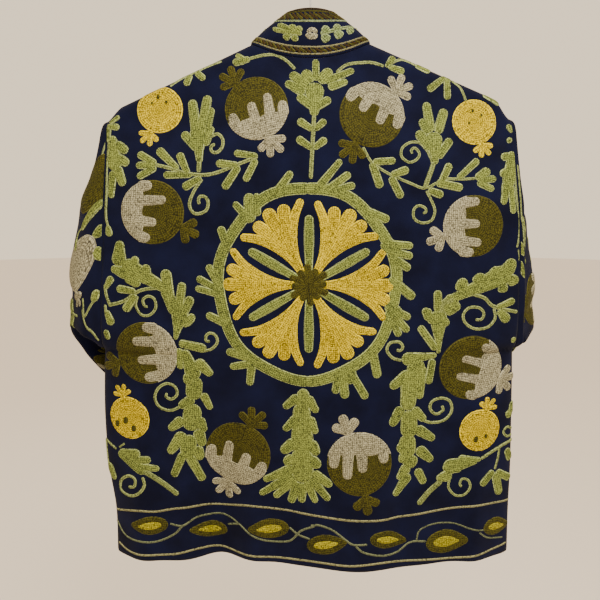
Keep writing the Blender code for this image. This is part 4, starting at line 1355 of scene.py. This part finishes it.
# Hem border.
# Two cream chain lines run round above the hem, and between them a thin vine
# carries olive leaves with yellow hearts, which point to both sides in turn.
HEM_LINES = (
    ((264, -728), (229, -719), (203, -719), (171, -713), (145, -714), (114, -717), (80, -710),
     (34, -713), (0, -716), (-41, -718), (-69, -719), (-99, -720), (-131, -718), (-174, -714),
     (-225, -711), (-272, -714)),
    ((262, -775), (245, -781), (219, -781), (185, -780), (160, -776), (140, -777), (118, -780),
     (101, -782), (58, -782), (12, -781), (-22, -781), (-48, -781), (-86, -779), (-133, -781),
     (-181, -784), (-215, -782), (-270, -776)),
)
HEM_VINE = (
    ((186, -736), (169, -738), (152, -730), (135, -730), (114, -732), (95, -740), (76, -753),
     (53, -759), (27, -756), (12, -740), (-6, -731)),
    ((264, -744), (250, -760), (226, -762), (202, -761), (181, -751), (169, -738)),
    ((111, -746), (95, -740)),
    ((27, -737), (16, -745), (0, -750)),
    ((-1, -731), (-12, -729), (-30, -734), (-47, -746), (-56, -751), (-74, -751)),
    ((-59, -753), (-70, -762), (-95, -769), (-114, -767), (-132, -755), (-153, -756)),
    ((-140, -755), (-144, -740), (-162, -733), (-188, -734), (-212, -742), (-226, -746), (-240, -748)),
    ((-226, -749), (-240, -760), (-264, -766)),
)
# centre, length, width, lean in degrees
HEM_LEAVES = (
    ((214, -739), 52.0, 22.0, -6.0),
    ((136, -751), 50.0, 20.0, 12.0),
    ((55, -741), 56.0, 24.0, -8.0),
    ((-22, -754), 54.0, 23.0, 165.0),
    ((-102, -748), 50.0, 20.0, 190.0),
    ((-182, -759), 58.0, 28.0, 178.0),
    ((-252, -746), 40.0, 21.0, 186.0),
)
for line in HEM_LINES:
    work_line("cream", line, 3.0, 3.0)
for line in HEM_VINE:
    work_line("sage", line, 2.8, 2.8)


def work_hem_leaf(centre, length, width, lean, place=on_back):
    """An olive leaf with a yellow heart on it, its size in millimetres."""
    # thread, share of the length and of the width, shift towards the foot, lift
    layers = (("olive", 1.0, 1.15, 0.0, 0.0), ("lime", 0.62, 0.56, 0.06, RAISED))
    for thread, length_share, width_share, shift, lift in layers:
        reach = length * MM * length_share / 2.0
        ahead = (math.cos(math.radians(lean)) * reach, math.sin(math.radians(lean)) * reach)
        x, height = centre[0] * MM - ahead[0] * shift, centre[1] * MM - ahead[1] * shift
        wide = width * MM * width_share
        line = [(x - ahead[0], height - ahead[1]), (x + ahead[0], height + ahead[1])]
        work_stroke(thread, line, wide * 0.46, wide * 0.20, place, swell=wide * 0.72, lift=lift)


for leaf in HEM_LEAVES:
    work_hem_leaf(*leaf)
embroidery = {"back": finish_threads("back_embroidery")}


# Collar embroidery.
# Cord-like borders of slanting olive and bronze stitches run round the band, with
# leaf sprigs and a small grey flower between them, on the stiffened navy cotton.
COLLAR_END = 0.03
COLLAR_REACH = (0.02, 0.985)


def on_collar(u, v, lift):
    """Places round the collar: u is the turn times its radius, v the height above the neck seam."""
    turn = np.clip(u / COLLAR_RADIUS, -math.pi + COLLAR_END, math.pi - COLLAR_END)
    rise = np.clip(v / COLLAR_HEIGHT, *COLLAR_REACH)
    step = 0.01
    around = collar_base(turn + step, rise) - collar_base(turn - step, rise)
    up = collar_base(turn, rise + step) - collar_base(turn, rise - step)
    normal = np.cross(up, around)
    normal /= np.linalg.norm(normal, axis=-1)[..., None]
    return collar_base(turn, rise) + normal * lift[..., None]


def on_collar_back(x, v, lift):
    """Places on the back of the collar: x is as seen, v the height above the neck seam."""
    rise = np.clip(v / COLLAR_HEIGHT, *COLLAR_REACH)
    half = NECK_HALF_WIDTH * (1.0 - rise) + COLLAR_TOP_HALF_WIDTH * rise
    return on_collar(np.arcsin(np.clip(x / half, -0.98, 0.98)) * COLLAR_RADIUS, v, lift)


COLLAR_LINE_REACH = 187.0
CORD_REACH = 186.0
# thread, height, width
COLLAR_LINES = (
    ("cream", 2.2, 2.2),
    ("cream", 10.4, 2.2),
    ("mint", 41.5, 2.4),
    ("olive", 54.0, 2.2),
    ("bronze", 56.6, 2.0),
)
# foot and top of the slanting stitches, how many go round, slant
COLLAR_CORDS = (
    (3.4, 9.2, 66, 3.6),
    (43.6, 52.0, 40, 9.0),
)
for thread, v, width in COLLAR_LINES:
    line = [(u, v) for u in np.linspace(-COLLAR_LINE_REACH, COLLAR_LINE_REACH, 90)]
    work_line(thread, line, width, width, on_collar)
for foot, top, count, slant in COLLAR_CORDS:
    for k in range(count):
        u = (2.0 * (k + 0.5) / count - 1.0) * (CORD_REACH - slant)
        lean = slant + 0.6 * math.sin(k * 1.9)
        work_line("bronze" if k % 2 else "olive", [(u - lean, foot), (u + lean, top)], 3.6, 3.2, on_collar)
# thread, width at the root, width at the tip, places across the back and above the seam
COLLAR_LEAVES = (
    ("leaf_green", 5.9, 7.7, (10, 26), (44, 28)),
    ("leaf_green", 7.7, 9.7, (23, 30), (38, 35)),
    ("leaf_green", 11.6, 12.4, (18, 28), (25, 35)),
    ("leaf_green", 7.7, 9.5, (18, 25), (19, 16)),
    ("leaf_green", 6.5, 9.3, (23, 26), (31, 17)),
    ("leaf_green", 11.2, 11.2, (12, 27), (17, 34)),
    ("mint", 5.2, 4.4, (-11, 26), (-28, 29), (-42, 30), (-50, 28)),
    ("mint", 7.7, 11.4, (-13, 27), (-20, 34)),
    ("mint", 7.7, 12.4, (-13, 25), (-21, 16)),
    ("mint", 7.7, 9.8, (-26, 29), (-33, 35)),
    ("mint", 7.7, 11.9, (-28, 28), (-36, 18)),
    ("mint", 7.2, 9.4, (-42, 29), (-49, 20)),
    ("grey", 7.7, 9.5, (-1, 28), (3, 32)),
    ("grey", 7.7, 9.8, (-2, 28), (-6, 32)),
    ("grey", 7.7, 12.4, (-1, 27), (3, 20)),
    ("grey", 6.5, 9.5, (-2, 27), (-6, 20)),
)
for thread, start_width, end_width, *line in COLLAR_LEAVES:
    work_line(thread, line, start_width, end_width, on_collar_back)


def work_sprig(root, direction, length, bend, pairs, place, leaf, thread="leaf_green"):
    """A curved stem in millimetres with pairs of leaves that grow towards its tip."""
    stem, heading = [root], direction
    for k in range(pairs + 1):
        stem.append(round_place(stem[-1], length / (pairs + 1), heading, 1.0, 0.0))
        heading += bend / (pairs + 1)
    work_line("stem_green", stem, 3.0, 3.0, place)
    heading = direction
    for k, foot in enumerate(stem[1:]):
        for turn in (-52.0, 50.0) if k < pairs else (-46.0, 0.0, 44.0):
            reach = leaf * (1.0 - 0.10 * math.sin(k * 2.0 + turn))
            tip = round_place(foot, reach, heading + turn, 1.0, 0.0)
            work_line(thread, [foot, tip], leaf * 0.46, leaf * 0.66, place)
        heading += bend / (pairs + 1)


for sign, outwards, inwards in ((1.0, 180.0, 0.0), (-1.0, 0.0, 180.0)):
    work_sprig((sign * 84.0, 27.0), outwards, 34.0, 0.0, 2, on_collar, 10.0)
    work_sprig((sign * 172.0, 27.0), inwards, 34.0, 0.0, 2, on_collar, 10.0, "mint")
embroidery["collar"] = finish_threads("collar_embroidery")


# Sleeve embroidery.
# Pomegranates, leaf sprigs and stems in the same threads go round both sleeves; the
# places are round the sleeve (left +, right -) and along it from the armhole.
def on_sleeve(side):
    """Places on a sleeve, measured along its girth and along its length from the armhole."""
    sign = 1.0 if side == "left" else -1.0
    around_angles = np.linspace(0.0, 2.0 * math.pi, 97)
    around_rows = sleeve_base(side, np.linspace(0.5, 5.5, 6)[:, None], around_angles[None, :])
    steps = np.linalg.norm(np.diff(around_rows, axis=1), axis=2).mean(axis=0)
    around = np.concatenate([[0.0], np.cumsum(steps)])
    along_places = np.linspace(0.0, 6.0, 25)
    along_rows = sleeve_base(side, along_places[:, None], around_angles[None, :-1])
    steps = np.linalg.norm(np.diff(along_rows, axis=0), axis=2).mean(axis=1)
    along = np.concatenate([[0.0], np.cumsum(steps)])

    def place(x, height, lift):
        angle = np.interp(np.mod(x * sign, around[-1]), around, around_angles)
        row = np.interp(np.clip(height, 0.0012, along[-1] - EDGE_CLEARANCE), along, along_places)
        return sleeve_surface(side, row, angle, -lift)

    return place


PLAIN_DRIPS = ((0.42, -0.30), (-0.20, -0.22), (-0.82, 0.02), (0.84, 0.02))
# fruit: centre, radius, direction of the cap, direction of the crown
SLEEVE_FRUITS = {
    "left": (
        ((30, 112), 33.0, 120.0, -60.0),
        ((118, 140), 33.0, 70.0, -110.0),
        ((330, 70), 34.0, 60.0, -120.0),
        ((420, 130), 34.0, 110.0, -70.0),
        ((250, 150), 32.0, 90.0, -90.0),
    ),
    "right": (
        ((-60, 118), 33.0, 60.0, -120.0),
        ((-172, 62), 30.0, 110.0, -70.0),
        ((-140, 170), 32.0, 90.0, -90.0),
        ((-320, 80), 34.0, 70.0, -110.0),
        ((-420, 140), 34.0, 120.0, -60.0),
        ((-245, 180), 32.0, 80.0, -100.0),
    ),
}
# sprig: root, direction, length, bend, pairs of leaves
SLEEVE_SPRIGS = {
    "left": (
        ((0, 20), 90.0, 80.0, 40.0, 3),
        ((70, 60), 60.0, 70.0, 60.0, 3),
        ((200, 40), 80.0, 90.0, -50.0, 4),
        ((270, 20), 100.0, 90.0, 30.0, 4),
        ((385, 20), 90.0, 80.0, -40.0, 3),
        ((450, 40), 80.0, 90.0, 30.0, 4),
        ((60, 190), 100.0, 80.0, 40.0, 3),
        ((180, 190), 80.0, 90.0, -30.0, 3),
        ((300, 180), 90.0, 90.0, 40.0, 3),
        ((400, 200), 80.0, 80.0, -40.0, 3),
    ),
    "right": (
        ((-20, 30), 90.0, 80.0, -40.0, 3),
        ((-100, 60), 60.0, 80.0, 60.0, 3),
        ((-220, 50), 90.0, 90.0, 50.0, 4),
        ((-270, 20), 80.0, 90.0, -30.0, 4),
        ((-370, 30), 90.0, 80.0, 40.0, 3),
        ((-450, 40), 100.0, 90.0, -30.0, 4),
        ((-60, 190), 80.0, 80.0, -40.0, 3),
        ((-190, 200), 100.0, 80.0, 30.0, 3),
        ((-300, 190), 90.0, 90.0, -40.0, 3),
        ((-400, 210), 90.0, 70.0, 40.0, 3),
    ),
}
# thread, width at the root, width at the tip, places
SLEEVE_STROKES = {
    "left": (
        ("stem_green", 3.0, 3.0, (33, 0), (45, 4), (56, 8)),
        ("leaf_green", 11.0, 12.0, (103, 0), (106, 12), (113, 27)),
        ("stem_green", 3.0, 3.0, (108, 2), (113, 16), (111, 34), (120, 40)),
        ("leaf_green", 10.0, 13.0, (127, 0), (137, 8)),
        ("leaf_green", 16.0, 18.0, (150, 0), (157, 8)),
        ("stem_green", 3.0, 3.0, (186, 22), (204, 23), (196, 9), (188, 0)),
        ("stem_green", 3.0, 3.0, (196, 26), (214, 23), (224, 12), (236, 4)),
        ("leaf_green", 9.0, 10.0, (196, 8), (186, 4)),
    ),
    "right": (
        ("stem_green", 3.0, 3.0, (-60, 2), (-90, 2), (-112, 2), (-126, 5), (-142, 6)),
        ("leaf_green", 5.0, 7.0, (-114, 3), (-126, 16), (-132, 36)),
        ("leaf_green", 8.0, 11.0, (-140, 0), (-152, 4)),
        ("leaf_green", 8.0, 10.0, (-158, 0), (-170, 7)),
    ),
}
SLEEVE_LEAF = 18.0
GREY_ROUND = (0.148, 0.033)
GREY_ROUND_RADIUS = 0.027
for side in ("left", "right"):
    place = on_sleeve(side)
    for thread, start_width, end_width, *line in SLEEVE_STROKES[side]:
        work_line(thread, line, start_width, end_width, place)
    for sprig in SLEEVE_SPRIGS[side]:
        work_sprig(*sprig, place, SLEEVE_LEAF)
    for centre, radius, cap, crown in SLEEVE_FRUITS[side]:
        work_pomegranate(centre, radius, cap, 4, PLAIN_DRIPS, ((crown, "olive"), (cap, "grey")), place)
    if side == "left":
        # An olive round and a grey one with a leaf stand by the armhole seam.
        work_disc("olive", (0.074, 0.010), 0.028, place)
        work_crown("grey", GREY_ROUND, GREY_ROUND_RADIUS, 176.0, 0.014, 4, place)
        work_disc("grey", GREY_ROUND, GREY_ROUND_RADIUS, place)
        work_line("leaf_green", ((118, 37), (132, 34)), 6.0, 8.0, place, lift=0.0006)
    embroidery[side] = finish_threads("sleeve_embroidery_" + side)


# Front embroidery.
# The fronts are not seen in the photo. They repeat the back's threads and kinds of
# motif: hem lines with leaves, sprigs and pomegranates, and a corded front edge.
# fruit: centre, radius, direction of the cap, direction of the crown
FRONT_FRUITS = (
    ((150, -262), 37.0, 70.0, -120.0),
    ((82, -402), 36.0, 110.0, -70.0),
    ((178, -470), 37.0, 80.0, -110.0),
    ((100, -620), 38.0, 100.0, -80.0),
)
# sprig: root, direction, length, bend, pairs of leaves
FRONT_SPRIGS = (
    ((70, -190), -100.0, 110.0, 30.0, 4),
    ((215, -360), 80.0, 130.0, -20.0, 5),
    ((136, -372), -70.0, 90.0, -60.0, 3),
    ((60, -470), -90.0, 110.0, -30.0, 4),
    ((216, -560), 70.0, 80.0, 40.0, 3),
    ((180, -690), 110.0, 130.0, 30.0, 5),
    ((50, -690), 80.0, 60.0, 20.0, 2),
    ((120, -190), -60.0, 70.0, -50.0, 3),
    ((200, -240), 100.0, 60.0, 30.0, 2),
    ((140, -530), 60.0, 70.0, 60.0, 3),
    ((44, -360), 80.0, 60.0, -40.0, 2),
    ((152, -560), -60.0, 70.0, 50.0, 3),
)
FRONT_LEAF = 20.0
# A corded edge: two lines, one 1.64 times as far in as the other, and slanting stitches between
EDGE_LINE = 0.0150
EDGE_LINE_SHARE = 1.64
EDGE_LINE_WIDTH = 0.0026
EDGE_FOOT = -0.772
EDGE_TOP = -0.172
EDGE_STITCHES = 96
EDGE_STITCH_FOOT = -0.768
EDGE_STITCH_REACH = 0.590
EDGE_STITCH_RISE = 0.006
EDGE_STITCH_START = 0.0165
EDGE_STITCH_END = 0.0230
FRONT_VINE_HEIGHT = -747.0
FRONT_VINE_WAVE = 0.052
FRONT_LEAF_STEP = 60.0
for side in ("left", "right"):
    sign = 1.0 if side == "left" else -1.0
    place = on_panel(-1.0, sign)
    edge_line = np.stack([np.full(80, -sign * EDGE_LINE), np.linspace(EDGE_FOOT, EDGE_TOP, 80)], axis=1)
    work_stroke("cream", edge_line, EDGE_LINE_WIDTH, EDGE_LINE_WIDTH, place)
    for k in range(EDGE_STITCHES):
        height = EDGE_STITCH_FOOT + EDGE_STITCH_REACH * k / (EDGE_STITCHES - 1.0)
        line = [(-sign * EDGE_STITCH_START, height), (-sign * EDGE_STITCH_END, height + EDGE_STITCH_RISE)]
        work_stroke("bronze" if k % 2 else "olive", line, 0.0036, 0.0032, place)
    work_stroke("cream", edge_line * (EDGE_LINE_SHARE, 1.0), EDGE_LINE_WIDTH, EDGE_LINE_WIDTH, place)
    for height, phase in ((-713.0, 0.4), (-780.0, 2.1)):
        line = [(-sign * x, height + 3.0 * math.sin(x * 0.03 + phase)) for x in np.linspace(28.0, 262.0, 40)]
        work_line("cream", line, 3.0, 3.0, place)
    vine = []
    for x in np.linspace(30.0, 258.0, 60):
        vine.append((-sign * x, FRONT_VINE_HEIGHT + 12.0 * math.sin(x * FRONT_VINE_WAVE)))
    work_line("sage", vine, 2.8, 2.8, place)
    for k in range(4):
        x = FRONT_LEAF_STEP * (k + 1)
        centre = (-sign * x, FRONT_VINE_HEIGHT - 9.0 * math.sin(x * FRONT_VINE_WAVE))
        work_hem_leaf(centre, 50.0, 22.0, 8.0 * (-1.0) ** k, place)
    for root, direction, length, bend, pairs in FRONT_SPRIGS:
        if side == "right":
            direction, bend = 180.0 - direction, -bend
        work_sprig((-sign * root[0], root[1]), direction, length, bend, pairs, place, FRONT_LEAF)
    for centre, radius, cap, crown in FRONT_FRUITS:
        centre = (-sign * centre[0], centre[1])
        work_pomegranate(centre, radius, cap, 4, PLAIN_DRIPS, ((crown, "olive"), (cap, "grey")), place)
    work_seed_fruit((-sign * 218.0, -622.0), 26.0, 100.0, ((6, -9, 9), (-7, -6, 8)), place)
    embroidery["front_" + side] = finish_threads("front_embroidery_" + side)
